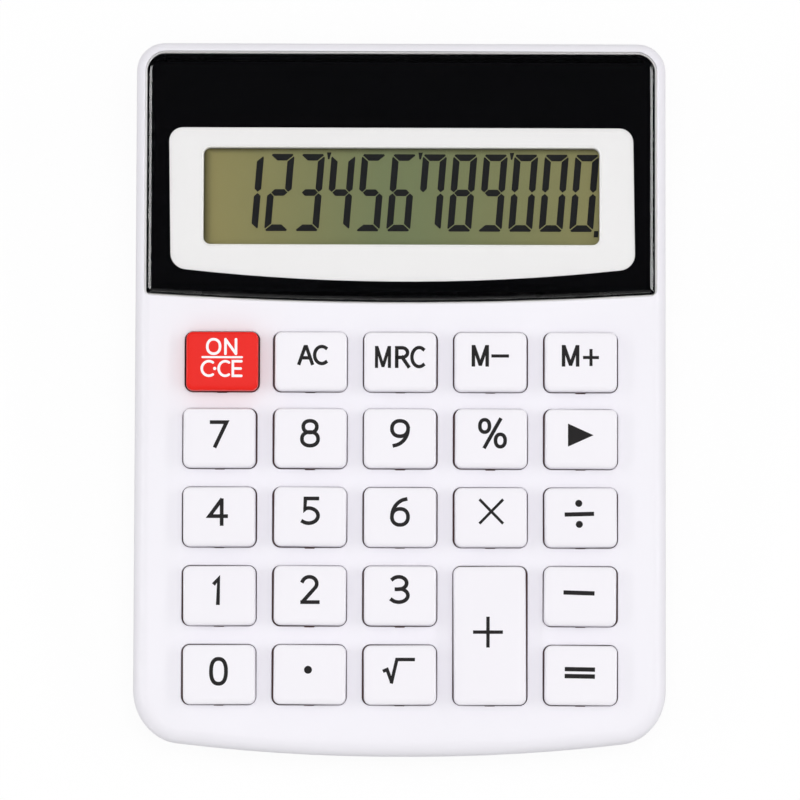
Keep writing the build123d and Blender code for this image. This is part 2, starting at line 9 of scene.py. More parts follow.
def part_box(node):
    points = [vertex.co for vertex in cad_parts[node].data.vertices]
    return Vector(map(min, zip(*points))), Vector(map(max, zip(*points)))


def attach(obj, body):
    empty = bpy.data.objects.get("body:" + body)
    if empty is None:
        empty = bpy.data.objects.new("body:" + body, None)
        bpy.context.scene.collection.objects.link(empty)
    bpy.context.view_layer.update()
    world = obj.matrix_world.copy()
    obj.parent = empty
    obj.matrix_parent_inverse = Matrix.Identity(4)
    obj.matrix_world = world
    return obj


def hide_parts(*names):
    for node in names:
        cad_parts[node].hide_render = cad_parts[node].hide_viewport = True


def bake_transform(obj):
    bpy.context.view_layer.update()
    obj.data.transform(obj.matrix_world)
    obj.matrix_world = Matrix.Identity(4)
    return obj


# Desk calculator: the looks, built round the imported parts. Metres, in the row's frame.
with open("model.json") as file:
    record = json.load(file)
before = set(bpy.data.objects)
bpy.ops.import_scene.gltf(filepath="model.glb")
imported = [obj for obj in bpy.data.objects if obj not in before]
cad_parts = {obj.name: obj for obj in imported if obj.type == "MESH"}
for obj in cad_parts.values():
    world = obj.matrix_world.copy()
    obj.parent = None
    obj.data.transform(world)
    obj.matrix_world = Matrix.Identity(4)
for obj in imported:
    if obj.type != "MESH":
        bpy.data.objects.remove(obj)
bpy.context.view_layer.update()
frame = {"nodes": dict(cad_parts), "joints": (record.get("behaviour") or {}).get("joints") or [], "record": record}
nodes = frame["nodes"]
slotOf = {part["node"]: part["material_slot"] for part in frame["record"]["subparts"]}
bodies = frame["record"]["behaviour"]["bodies"]
bodyOf = {node: body for body, members in bodies.items() for node in members}
print("frame loaded:", len(nodes), "nodes")

mm = 0.001
scene = bpy.context.scene

# Face coordinates: x to the right, y up the slope, z out of the sloping face
pressAxis = Vector(next(j["axis"] for j in frame["joints"] if j["name"] == "key_7_press"))
tilt = atan2(pressAxis.y, -pressAxis.z)
onFace = Matrix.Rotation(tilt, 4, "X")
offFace = onFace.inverted()


def boxOf(points):  # lowest and highest corner
    return [Vector([pick(p[i] for p in points) for i in range(3)]) for pick in (min, max)]


def faceBox(node):
    return boxOf([offFace @ vert.co for vert in nodes[node].data.vertices])


def middleOf(low, high):
    return [(a + b) / 2 for a, b in zip(low, high)]


faceLevel = faceBox("top_housing")[1].z
lensLow, lensHigh = faceBox("display_lens")
maskLow, maskHigh = faceBox("display_mask")
windowX, windowY = middleOf(*faceBox("lcd_front_glass"))[:2]


def operation(name, reflected=False):
    def work(self, *others):
        values = (*others, self) if reflected else (self, *others)
        return self.shader.add("ShaderNodeMath", {"operation": name}, dict(enumerate(values)))

    return work


class Value:  # a shader socket that takes part in Python expressions
    def __init__(self, shader, socket):
        self.shader = shader
        self.socket = socket

    __add__, __radd__ = operation("ADD"), operation("ADD", True)
    __sub__, __rsub__ = operation("SUBTRACT"), operation("SUBTRACT", True)
    __mul__, __rmul__ = operation("MULTIPLY"), operation("MULTIPLY", True)
    __truediv__, __rtruediv__ = operation("DIVIDE"), operation("DIVIDE", True)
    __gt__, __lt__ = operation("GREATER_THAN"), operation("LESS_THAN")
    size, sine = operation("ABSOLUTE"), operation("SINE")
    most, power = operation("MAXIMUM"), operation("POWER")


def linear(levels):  # a colour from 0..255 display values
    shares = [level / 255 for level in levels]
    return (*(s / 12.92 if s <= 0.04045 else ((s + 0.055) / 1.055) ** 2.4 for s in shares), 1)


class Shader:  # the node tree of a material or of the world
    def __init__(self, owner):
        owner.use_nodes = True
        self.tree = owner.node_tree
        self.tree.nodes.clear()

    def add(self, kind, settings=None, values=None, output=0):
        node = self.tree.nodes.new(kind)
        for name, setting in (settings or {}).items():
            setattr(node, name, setting)
        for name, value in (values or {}).items():
            if isinstance(value, Value):
                self.tree.links.new(value.socket, node.inputs[name])
            else:
                node.inputs[name].default_value = value
        return Value(self, node.outputs[output]) if len(node.outputs) else None

    def axis(self, name, kind="Object"):
        spot = self.add("ShaderNodeTexCoord", output=kind)
        return self.add("ShaderNodeSeparateXYZ", values={0: spot}, output=name)

    def facePlace(self):  # x, y and z in face coordinates
        x, y, z = (self.axis(name) for name in "XYZ")
        return x, y * cos(tilt) + z * sin(tilt), z * cos(tilt) - y * sin(tilt)

    def place(self, scale=(1, 1, 1), turn=(0, 0, 0)):
        spot = self.add("ShaderNodeTexCoord", output="Object")
        values = {"Vector": spot, "Scale": scale, "Rotation": turn}
        return self.add("ShaderNodeMapping", values=values)

    def noise(self, scale, detail=2.0, where=None):
        values = {"Scale": scale, "Detail": detail, "Vector": where or self.place()}
        return self.add("ShaderNodeTexNoise", values=values)

    def blend(self, share, *colours):  # of three display values or of four linear ones
        first, second = (linear(c) if type(c) is tuple and len(c) == 3 else c for c in colours)
        values = {0: share, 6: first, 7: second}
        return self.add("ShaderNodeMix", {"data_type": "RGBA"}, values, output=2)

    def limits(self, value, low, high, newLow=0.0, newHigh=1.0):
        values = dict(enumerate((value, low, high, newLow, newHigh)))
        return self.add("ShaderNodeMapRange", values=values)

    def bump(self, height, distance):
        return self.add("ShaderNodeBump", values={"Height": height, "Distance": distance})

    def ray(self, name):
        return self.add("ShaderNodeLightPath", output=name)

    def solid(self, base, rough, more=None):
        values = {"Base Color": base, "Roughness": rough, **(more or {})}
        return self.add("ShaderNodeBsdfPrincipled", values=values)

    def mixed(self, share, first, second):
        return self.add("ShaderNodeMixShader", values={0: share, 1: first, 2: second})

    def finish(self, surface):
        self.add("ShaderNodeOutputMaterial", values={"Surface": surface})

    def coat(self, base, rough, more=None):
        self.finish(self.solid(base, rough, more))


def newShader(name):
    return Shader(bpy.data.materials.new(name))


# the display's pocket, whose floor is painted lighter, as painted light for what its clear cover takes, and more
# neutral for the cover's tint
pocketLook = {
    "depth": (0.6 * mm, 2.6 * mm),  # where its tint begins and ends under the face
    "foot": 19.5 * mm,
    "beyond": 0.55 * mm,  # how far it reaches beyond the cover
    "corner": 1.35 * mm,  # what is left out at its rounded corners
}


def inPocket(shader):
    x, y, z = shader.facePlace()
    start, end = pocketLook["depth"]
    right, top = lensHigh.x + pocketLook["beyond"], lensHigh.y + pocketLook["beyond"]
    inside = (z < faceLevel - start) * (z > faceLevel - end) * (y > pocketLook["foot"])
    corner = x.size() + y < lensHigh.x + lensHigh.y - pocketLook["corner"]
    return inside * (x.size() < right) * (y < top) * corner


def moulded(name, look):  # moulded plastic or rubber, paint and print, with a fine grain
    shader = newShader(name)
    grainScale, grainDepth = look["grain"]
    cloud = shader.noise(look.get("clouds", 45), 3)
    grain = shader.noise(grainScale)
    base = shader.blend(cloud, look["colour"], look["shade"])
    if "deep" in look:  # painted shade: darker towards the bottom of a gap and down a cap's sides, where they lie in shadow
        depth = faceLevel - shader.facePlace()[2]
        base = shader.blend(shader.limits(depth, *look["deepFrom"]), base, look["deep"])
    # the pocket's floor: painted light, lighter and more neutral than the case
    if "pocket" in look:
        base = shader.blend(inPocket(shader), base, look["pocket"])
    rough = look["rough"] + (cloud - 0.5) * 0.08 + (grain - 0.5) * 0.06
    more = {"Normal": shader.bump(grain, grainDepth), "Specular IOR Level": look.get("shine", 0.5)}
    shader.coat(base, rough, more)


# colours as 0..255 display values, the shade in soft clouds; a grain has scale and depth
plastics = {
    "caseWhite": dict(
        colour=(240, 238, 244), shade=(236, 234, 240), rough=0.4, shine=0.35, grain=(3800, 4e-6),
        # pocket: the display pocket's floor, painted lighter for the light its clear cover takes, and more neutral
        # for its tint
        pocket=(250, 249, 249),
    ),
    "keyWhite": dict(
        colour=(241, 239, 244), shade=(238, 235, 241), rough=0.34, grain=(5200, 2e-6),
        # deep: painted shade in the gap round the cap, from 0.1 to 1 mm under the face
        deep=(146, 108, 104), deepFrom=(0.1 * mm, 1.0 * mm),
    ),
    # a brighter, glossier white than the case's own: a painted highlight for the bright line round the display
    # window
    "rimWhite": dict(
        colour=(254, 253, 252), shade=(250, 249, 248), rough=0.25, shine=1.0, grain=(5200, 1e-6),
    ),
    "keyRed": dict(
        colour=(236, 33, 24), shade=(230, 30, 22), rough=0.32, shine=0.25, grain=(5200, 2e-6),
        # deep: painted shade, a darker red down the cap's sides, from above the face to just under it
        deep=(94, 14, 15), deepFrom=(-1.4 * mm, 0.1 * mm),
    ),
    "maskBlack": dict(
        colour=(10, 10, 12), shade=(13, 13, 15), rough=0.5, shine=0.0, grain=(6000, 1e-6),
    ),
    "legendInk": dict(
        colour=(33, 31, 32), shade=(38, 36, 37), rough=0.6, shine=0.25, grain=(9000, 1e-6),
        clouds=900,
    ),
    "legendWhite": dict(
        colour=(250, 248, 250), shade=(244, 240, 242), rough=0.5, grain=(9000, 1e-6), clouds=900,
    ),
    "segmentInk": dict(
        colour=(29, 29, 32), shade=(34, 34, 36), rough=0.6, shine=0.2, grain=(9000, 5e-7),
    ),
    "footRubber": dict(
        colour=(150, 150, 152), shade=(134, 134, 137), rough=0.75, shine=0.3,
        grain=(2500, 1.2e-5),
    ),
    "siliconeGrey": dict(
        colour=(150, 116, 112), shade=(140, 108, 104), rough=0.6, grain=(3000, 5e-6),
    ),
    "foamGrey": dict(
        colour=(120, 120, 124), shade=(92, 92, 96), rough=0.95, grain=(1400, 6e-5), clouds=900,
    ),
    "epoxyBlack": dict(colour=(22, 22, 24), shade=(34, 34, 36), rough=0.22, grain=(700, 2e-5)),
    "resistorBody": dict(colour=(34, 34, 38), shade=(52, 50, 54), rough=0.35, grain=(2500, 4e-6)),
    "wireRed": dict(colour=(190, 30, 26), shade=(170, 24, 22), rough=0.45, grain=(2500, 4e-6)),
    "wireBlack": dict(colour=(28, 28, 30), shade=(38, 38, 40), rough=0.45, grain=(2500, 4e-6)),
    "reflectorFilm": dict(
        colour=(150, 150, 104), shade=(138, 140, 96), rough=0.5, grain=(6000, 2e-6),
    ),
}


def makeLensClear():  # polished acrylic: partly mirrors, else shows what is behind it
    look = {"rough": 0.03, "mirror": 0.039, "smear": 0.006, "through": (0.985, 0.985, 0.985, 1)}
    shader = newShader("lensClear")
    rough = look["rough"] + shader.noise(70, 4) * look["smear"]
    mirror = shader.add("ShaderNodeBsdfGlossy", values={"Color": (1, 1, 1, 1), "Roughness": rough})
    through = shader.add("ShaderNodeBsdfTransparent", values={"Color": look["through"]})
    grazing = shader.add("ShaderNodeLayerWeight", values={"Blend": 0.5}, output="Facing")
    share = look["mirror"] + (1 - look["mirror"]) * grazing.power(5)
    shader.finish(shader.mixed(share, through, mirror))


def makeFilm():  # matt film over the liquid crystal, warmer towards its ends
    look = {
        "left": (151, 143, 91),
        "middle": (122, 132, 91),
        "right": (143, 139, 90),
        "cloud": (112, 114, 72),
        "edge": (54, 50, 27),  # where the window's edge shades it, at its left and top
        "toMiddle": (-38 * mm, -4 * mm),
        "toRight": (4 * mm, 40 * mm),
        "shadeLeft": (-39.6 * mm, -37.2 * mm),  # from the window's middle
        "shadeTop": (8.3 * mm, 9.75 * mm),
        "clouds": 120,
        "grain": (7000, 1e-6),
        "rough": 0.42,
        "shine": 0.35,
    }
    shader = newShader("lcdFilm")
    x, y = shader.facePlace()[:2]
    grainScale, grainDepth = look["grain"]
    cloud = shader.noise(look["clouds"], 3)
    base = shader.blend(shader.limits(x, *look["toMiddle"]), look["left"], look["middle"])
    base = shader.blend(shader.limits(x, *look["toRight"]), base, look["right"])
    base = shader.blend(cloud * 0.1, base, look["cloud"])
    nearLeft = shader.limits(x - windowX, *look["shadeLeft"], 1, 0)
    near = nearLeft.most(shader.limits(y - windowY, *look["shadeTop"]))
    base = shader.blend(near * near * 0.9, base, look["edge"])
    bump = shader.bump(shader.noise(grainScale), grainDepth)
    more = {"Normal": bump, "Specular IOR Level": look["shine"]}
    shader.coat(base, look["rough"] + (cloud - 0.5) * 0.06, more)


def makeGlass():  # thin glass inside the panel
    look = {"tint": (196, 208, 190), "darker": 0.06, "clouds": 150, "rough": 0.06, "solid": 0.35}
    shader = newShader("lcdGlass")
    cloud = shader.noise(look["clouds"], 3)
    base = shader.blend(cloud * look["darker"], look["tint"], (0, 0, 0))
    shader.coat(base, look["rough"] + cloud * 0.03, {"Alpha": look["solid"]})


def makeBoardGreen():  # solder mask with copper tracks that show through
    look = {
        "mask": (26, 92, 52),
        "track": (44, 128, 74),
        "pad": (196, 190, 168),
        "pitch": 2.54 * mm,
        "tracks": {"Mortar Size": 0.09, "Brick Width": 3.0, "Row Height": 1.0},
        "pads": (0.4, 0.12),  # how many to a pitch, and their size
        "height": 0.03 * mm,
        "rough": 0.32,
    }
    shader = newShader("boardGreen")
    spot = shader.place(turn=(-tilt, 0, 0))
    values = {"Vector": spot, "Scale": 1 / look["pitch"], **look["tracks"]}
    cell = shader.add("ShaderNodeTexBrick", {"offset": 0.5}, values, output="Fac")
    often, size = look["pads"]
    values = {"Vector": spot, "Scale": often / look["pitch"]}
    dots = shader.add("ShaderNodeTexVoronoi", {"distance": "CHEBYCHEV"}, values)
    base = shader.blend(cell, look["mask"], look["track"])
    base = shader.blend(dots < size, base, look["pad"])
    rough = look["rough"] + shader.noise(1800) * 0.1
    shader.coat(base, rough, {"Normal": shader.bump(cell, look["height"])})


def makeMetal(name, look):  # brushed, and worn in spots
    shader = newShader(name)
    brushed = shader.noise(900, 3, shader.place(scale=look["stretch"]))
    worn = shader.limits(shader.noise(look["spots"], 4), *look["wornFrom"])
    base = shader.blend(worn, look["colour"], look["shade"])
    more = {"Metallic": 1.0, "Normal": shader.bump(brushed, look["depth"])}
    shader.coat(base, look["rough"] + brushed * 0.12 + worn * 0.15, more)


metals = {
    "screwZinc": dict(
        colour=(206, 206, 208), shade=(168, 166, 160), rough=0.24, stretch=(1, 1, 0.2), spots=700,
        depth=4e-6, wornFrom=(0.55, 0.75),
    ),
    "contactNickel": dict(
        colour=(216, 212, 202), shade=(184, 178, 164), rough=0.2, stretch=(1, 0.15, 1), spots=500,
        depth=3e-6, wornFrom=(0.55, 0.75),
    ),
}


def makeJacket():  # plain printed cell jacket: bands round the cell, bare metal at its ends
    look = {
        "band": (38, 40, 44),
        "ring": (190, 150, 70),
        "steel": (200, 200, 202),
        "cloud": (60, 60, 62),
        "ringFrom": 0.72,  # in shares of the cell's length
        "ends": (0.02, 0.955),
        "rough": 0.26,
    }
    shader = newShader("batteryJacket")
    low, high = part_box("battery")
    share = (shader.axis("X") - low.x) / (high.x - low.x)
    first, last = look["ends"]
    ends = (share > last) + (share < first)
    cloud = shader.noise(200, 3)
    base = shader.blend(share > look["ringFrom"], look["band"], look["ring"])
    base = shader.blend(ends, base, look["steel"])
    base = shader.blend(cloud * 0.2, base, look["cloud"])
    shader.coat(base, look["rough"] + cloud * 0.1, {"Metallic": ends * 0.9})


def makeLayered():  # zebra strip: thin dark and pale layers across its length
    look = {"pale": (196, 150, 152), "dark": (40, 38, 40), "pitch": 0.4 * mm, "rough": 0.6}
    shader = newShader("connectorRubber")
    stripe = (shader.axis("X") * (2 * pi / look["pitch"])).sine() > 0.0
    grain = shader.noise(2500)
    base = shader.blend(stripe, look["pale"], look["dark"])
    more = {"Normal": shader.bump(grain, 5e-6)}
    shader.coat(base, look["rough"] + grain * 0.1, more)


def makeSleeve():  # shrink sleeve of the capacitor
    look = {"colour": (30, 40, 84), "shade": (22, 30, 66), "rough": 0.22, "coat": 0.3}
    shader = newShader("capacitorSleeve")
    cloud = shader.noise(600, 3)
    base = shader.blend(cloud, look["colour"], look["shade"])
    more = {"Normal": shader.bump(shader.noise(2500), 4e-6), "Coat Weight": look["coat"]}
    shader.coat(base, look["rough"] + cloud * 0.12, more)


for name, look in plastics.items():
    moulded(name, look)
for name, look in metals.items():
    makeMetal(name, look)
makeLensClear()
makeFilm()
makeGlass()
makeBoardGreen()
makeJacket()
makeLayered()
makeSleeve()
print("finishes made:", len(bpy.data.materials))

otherNames = {"lcd_reflector": "reflectorFilm", "screw_steel": "screwZinc"}


def finishOf(node):  # case_white has the finish caseWhite, and so on
    first, second = slotOf[node].split("_")
    return bpy.data.materials[otherNames.get(slotOf[node], first + second.title())]


for name, node in nodes.items():
    node.data.materials.clear()
    node.data.materials.append(finishOf(name))


def linked(name, data):
    made = bpy.data.objects.new(name, data)
    scene.collection.objects.link(made)
    return made


def keepPiece(name, mesh, node, finish=None, replaces=True, rides=True):
    # a finished piece, in the body and the slot of a node of the frame
    mesh.name = name
    mesh.materials.clear()
    mesh.materials.append(bpy.data.materials[finish] if finish else finishOf(node))
    piece = linked(name, mesh)
    if rides:
        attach(piece, bodyOf[node])
    if replaces:
        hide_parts(node)
    return piece


def finished(carrier):  # the plain mesh that a carrier's modifiers make; the carrier goes
    graph = bpy.context.evaluated_depsgraph_get()
    mesh = bpy.data.meshes.new_from_object(carrier.evaluated_get(graph))
    carrier.modifiers.clear()
    bpy.data.objects.remove(carrier)
    return mesh


def smoothed(mesh, angle):
    mesh.shade_smooth()
    mesh.set_sharp_from_angle(angle=radians(angle))


def meshOf(shape, name, sharp=None):  # its faces outward, its edges sharp over an angle
    bmesh.ops.recalc_face_normals(shape, faces=shape.faces)
    mesh = bpy.data.meshes.new(name)
    shape.to_mesh(mesh)
    shape.free()
    if sharp:
        smoothed(mesh, sharp)
    return mesh


def pieceOf(shape, name, node, sharp=None, **more):  # a piece from a shape in face coordinates
    shape.transform(onFace)
    return keepPiece(name, meshOf(shape, name, sharp), node, **more)


softLook = {"edge": 0.12 * mm, "steps": 2, "sharp": 32, "join": 0.002 * mm, "flat": 0.6}


def mergedCopy(node):  # its copy in face coordinates, as one skin, its flat faces whole
    shape = bmesh.new()
    shape.from_mesh(nodes[node].data)
    bmesh.ops.remove_doubles(shape, verts=shape.verts, dist=softLook["join"])
    flat = radians(softLook["flat"])
    bmesh.ops.dissolve_limit(shape, angle_limit=flat, verts=shape.verts, edges=shape.edges)
    shape.transform(offFace)
    return shape


def softPiece(piece, node, reshape=None):  # a moulded part's copy with its sharp edges broken
    shape = mergedCopy(node)
    if reshape:
        reshape(shape)
    shape.transform(onFace)
    carrier = linked("carrier", meshOf(shape, piece, softLook["sharp"]))
    bevel = carrier.modifiers.new("soft", "BEVEL")
    bevel.width = softLook["edge"]
    bevel.segments = softLook["steps"]
    bevel.limit_method = "ANGLE"
    bevel.angle_limit = radians(softLook["sharp"])
    bevel.use_clamp_overlap = False
    carrier.modifiers.new("even", "WEIGHTED_NORMAL").keep_sharp = True
    keepPiece(piece, finished(carrier), node)


# the openings as the photo shows them: a little wider, the first row a little lower
openingLook = {
    "overlap": 0.65 * mm,  # a key's flange beyond its opening
    "depth": 2.6 * mm,
    "near": 0.1 * mm,  # what lies this near to an opening moves with it
    "side": 0.2 * mm,
    "front": 0.22 * mm,
    "firstRow": -0.33 * mm,
    "redKey": 0.4 * mm,  # the first key and its opening stand this much to the right
    "notch": 1.4 * mm,  # half the notch's width
    "notchReach": (0.2 * mm, 0.5 * mm),  # its end lies between these, beyond the opening
    "shallow": (0.29 * mm, 0.22 * mm),  # taken off each notch; less where it stays open
    "windowRight": 0.25 * mm,  # how far the display window's right end moves
    "windowEnd": ((37.9, 40), (31.5, 51.5), (1.7, 3.7)),  # its x, y and depth, in mm
}
# keys that leave their guide notch open at the front
lowRibs = ("key_8", "key_9", "key_percent", "key_memory_plus", "key_5", "key_2", "key_3")


def findOpenings():  # each one's middle and half sizes, then how far it moves in y and in x
    boxes = {node: faceBox(node) for node in nodes if node.startswith("key_")}
    firstRow = max(middleOf(*box)[1] for box in boxes.values()) - 1 * mm
    places = {}
    for node, (low, high) in boxes.items():
        x, y = middleOf(low, high)[:2]
        halfX, halfY = ((high[i] - low[i]) / 2 - openingLook["overlap"] for i in (0, 1))
        drop = openingLook["firstRow"] if y > firstRow else 0.0
        slide = openingLook["redKey"] if slotOf[node] == "key_red" else 0.0
        places[node] = (x, y, halfX, halfY, drop, slide)
    return places


openings = findOpenings()

# the photo's case reaches a little further forward, most at its corners
frontLook = {
    "reach": (0.96 * mm, 1.14 * mm),  # at the middle, at the corners
    "edge": -69.7 * mm,  # the front edge at the middle, in face coordinates
    "bow": 1.34,  # how that edge falls back with the square of x
    "corner": (43.7 * mm, -57.5 * mm),  # the middle of a front corner's round
    "cornerCore": (4.0 * mm, 6.0 * mm),  # what lies nearer to that middle stays
    "topBand": (4.2 * mm, 2.9 * mm),  # how far in the change begins, and is whole
    "lowBand": (2.8 * mm, 1.4 * mm),
    "bandLevel": 5.6 * mm,  # the low band starts this far under the face
}


def shareOf(value, none, whole):
    return max(0.0, min(1.0, (value - none) / (whole - none)))


def lengthenFront(shape):
    cornerX, cornerY = frontLook["corner"]
    middle, corner = frontLook["reach"]
    for vert in shape.verts:
        x, y = abs(vert.co.x), vert.co.y
        if y > cornerY:
            continue
        if x > cornerX:
            away = hypot(x - cornerX, cornerY - y)
            weight = (cornerY - y) / away * shareOf(away, *frontLook["cornerCore"])
        else:
            low = vert.co.z < faceLevel - frontLook["bandLevel"]
            inward = y - frontLook["edge"] - frontLook["bow"] * x * x
            weight = shareOf(inward, *frontLook["lowBand" if low else "topBand"])
        vert.co.y -= weight * (middle + (corner - middle) * min(1.0, x / cornerX))


def reshapeTop(shape):
    lengthenFront(shape)
    look = openingLook
    near, (notchStart, notchEnd) = look["near"], look["notchReach"]
    for vert in shape.verts:
        place = (vert.co.x, vert.co.y, faceLevel - vert.co.z)
        if all(low * mm < v < high * mm for v, (low, high) in zip(place, look["windowEnd"])):
            vert.co.x += look["windowRight"]
        if place[2] > look["depth"]:
            continue
        for node, (middleX, middleY, halfX, halfY, drop, slide) in openings.items():
            dx, dy = vert.co.x - middleX, vert.co.y - middleY
            if abs(dx) < halfX + near and -halfY - notchEnd < dy < halfY + near:
                if abs(dx) > look["notch"]:
                    vert.co.x += look["side"] * (1 if dx > 0 else -1)
                elif dy < -halfY - notchStart:
                    vert.co.y += look["shallow"][node in lowRibs]
                vert.co.x += slide
                vert.co.y += drop - (look["front"] if dy < 0 else 0)
                break


softPiece("topShell", "top_housing", reshapeTop)
softPiece("bottomShell", "bottom_housing", lengthenFront)
softPiece("doorPanel", "battery_door")
print("housings made")


def roundedOutline(halfX, halfY, radius, steps=8):
    points = []
    for signX, signY, start in ((1, 1, 0), (-1, 1, 90), (-1, -1, 180), (1, -1, 270)):
        for k in range(steps + 1):
            turn = radians(start + 90 * k / steps)
            x = signX * (halfX - radius) + radius * cos(turn)
            y = signY * (halfY - radius) + radius * sin(turn)
            points.append((x, y))
    return points


def turned(points, degrees, aboutX=0.0, aboutY=0.0):
    c, s = cos(radians(degrees)), sin(radians(degrees))
    away = [(x - aboutX, y - aboutY) for x, y in points]
    return [(aboutX + x * c - y * s, aboutY + x * s + y * c) for x, y in away]


def addLoop(shape, points, height, centre=(0, 0)):
    return [shape.verts.new((x + centre[0], y + centre[1], height)) for x, y in points]


def joinLoops(shape, lower, upper):
    count = len(lower)
    for k in range(count):
        after = (k + 1) % count
        shape.faces.new((lower[k], lower[after], upper[after], upper[k]))


def addSkin(shape, loops):  # a closed skin over loops, with its two ends
    for lower, upper in zip(loops, loops[1:]):
        joinLoops(shape, lower, upper)
    shape.faces.new(loops[0][::-1])
    shape.faces.new(loops[-1])


def addPrism(shape, outline, low, high):
    addSkin(shape, [addLoop(shape, outline, low), addLoop(shape, outline, high)])


def rectangle(left, low, right, high):
    return [(left, low), (right, low), (right, high), (left, high)]


# Keycaps: crowned shoulders over a hollow skirt, its flange and its stem
capLook = {
    "flangeOut": 0.87 * mm,  # flange beyond the skirt
    "flangeHeight": 0.8 * mm,
    "flangeRadius": 1.2 * mm,
    "flangeSoft": 0.05 * mm,
    "corner": 1.48 * mm,
    "draft": (0.14 * mm, 0.7),  # how far a side leans in, and its share at half height
    "leastRadius": 0.2 * mm,
    "shoulder": 0.5 * mm,
    "shoulderSteps": 6,
    "frontSoft": 0.8 * mm,  # the front shoulder is this much wider
    "crown": 0.05 * mm,
    "crownRings": ((0.7 * mm, 0.35), (1.5 * mm, 0)),  # how far in, share of the crown left
    "slim": (-0.02 * mm, -0.13 * mm),  # how much smaller the cap is than its solid, each way
    "wall": 1.2 * mm,
    "insideRadius": 0.4 * mm,
    "stem": (4.4 * mm, 1.2 * mm),  # length and thickness of its two arms
    "stemTop": 0.3 * mm,  # how far it goes into the roof
    "ribWidth": 1.5 * mm,
    "ribOut": 0.04 * mm,
    "ribIn": 0.6 * mm,
    "ribFoot": 0.3 * mm,
    "rib": 0.12 * mm,  # rib top under the face
    "lowRib": 1.8 * mm,
}
legendTurn = {"key_minus": -1.8, "key_equals": -0.9, "key_divide": 1.6}


def makeCap(node):
    look = capLook
    low, high = faceBox(node)
    x, y = middleOf(low, high)[:2]
    out, soft = look["flangeOut"], look["flangeSoft"]
    (draft, halfway), shoulder, crown = look["draft"], look["shoulder"], look["crown"]
    halfX, halfY = ((high[i] - low[i]) / 2 - out for i in (0, 1))
    bottom, top = low.z, high.z
    flangeTop, roof = bottom + look["flangeHeight"], top - look["wall"]
    shape = bmesh.new()

    def flangeRing(inset, height, radius):
        outline = roundedOutline(halfX - inset, halfY - inset, look[radius])
        return addLoop(shape, outline, height, (x, y))

    shiftX, shiftY, angle = keyTable[node][0]
    drop, slide = openings[node][4:]
    slimX, slimY = look["slim"]
    moreX, moreY = openingLook["side"], openingLook["front"] / 2
    centre = (x + shiftX * mm + slide, y + shiftY * mm - moreY + drop)

    def ring(inset, height, share=0.0):
        back = share * look["frontSoft"] / 2
        wide, deep = halfX + moreX - slimX - inset, halfY + moreY - slimY - inset - back
        outline = roundedOutline(wide, deep, max(look["corner"] - inset, look["leastRadius"]))
        outline = turned([(px, py + back) for px, py in outline], angle)
        return addLoop(shape, outline, height, centre)

    rings = [
        flangeRing(look["wall"], roof, "insideRadius"),
        flangeRing(look["wall"], bottom, "insideRadius"),
        flangeRing(-out, bottom, "flangeRadius"),
        flangeRing(-out, flangeTop - soft, "flangeRadius"),
        flangeRing(-out + soft, flangeTop, "flangeRadius"),
        ring(0, flangeTop),
        ring(draft * halfway, (flangeTop + top) / 2),
        ring(draft, top - shoulder - crown),
    ]
    for k in range(1, look["shoulderSteps"] + 1):
        turn = pi / 2 * k / look["shoulderSteps"]
        share = 1 - cos(turn)
        height = top - crown - shoulder * (1 - sin(turn))
        rings.append(ring(draft + shoulder * share, height, share))
    for inset, left in look["crownRings"]:
        rings.append(ring(draft + shoulder + inset, top - crown * left, 1))
    addSkin(shape, rings)
    arm, rib = (size / 2 for size in look["stem"])
    for wide, deep in ((arm, rib), (rib, arm)):
        outline = rectangle(x - wide, y - deep, x + wide, y + deep)
        addPrism(shape, outline, bottom, roof + look["stemTop"])
    half = look["ribWidth"] / 2
    front = centre[1] - halfY - moreY
    left, right = x + slide - half, x + slide + half
    outline = rectangle(left, front - look["ribOut"], right, front + look["ribIn"])
    under = look["lowRib" if node in lowRibs else "rib"]
    addPrism(shape, outline, flangeTop - look["ribFoot"], faceLevel - under)
    pieceOf(shape, node.replace("key_", "cap_"), node, sharp=40)
    return x, y, top


# Legends: strokes in a unit box, x to the right and y up
def arc(centreX, centreY, radiusX, radiusY, start, end, square=2.0):
    steps = max(6, int(abs(end - start) / 9))
    points = []
    for k in range(steps + 1):
        turn = radians(start + (end - start) * k / steps)
        c, s = cos(turn), sin(turn)
        x = abs(c) ** (2 / square) * (1 if c >= 0 else -1)
        y = abs(s) ** (2 / square) * (1 if s >= 0 else -1)
        points.append((centreX + radiusX * x, centreY + radiusY * y))
    return points


def loop(centreX, centreY, radiusX, radiusY, square=2.2):
    return ("loop", arc(centreX, centreY, radiusX, radiusY, 0, 360, square)[:-1])


def line(*points):
    return ("line", points)


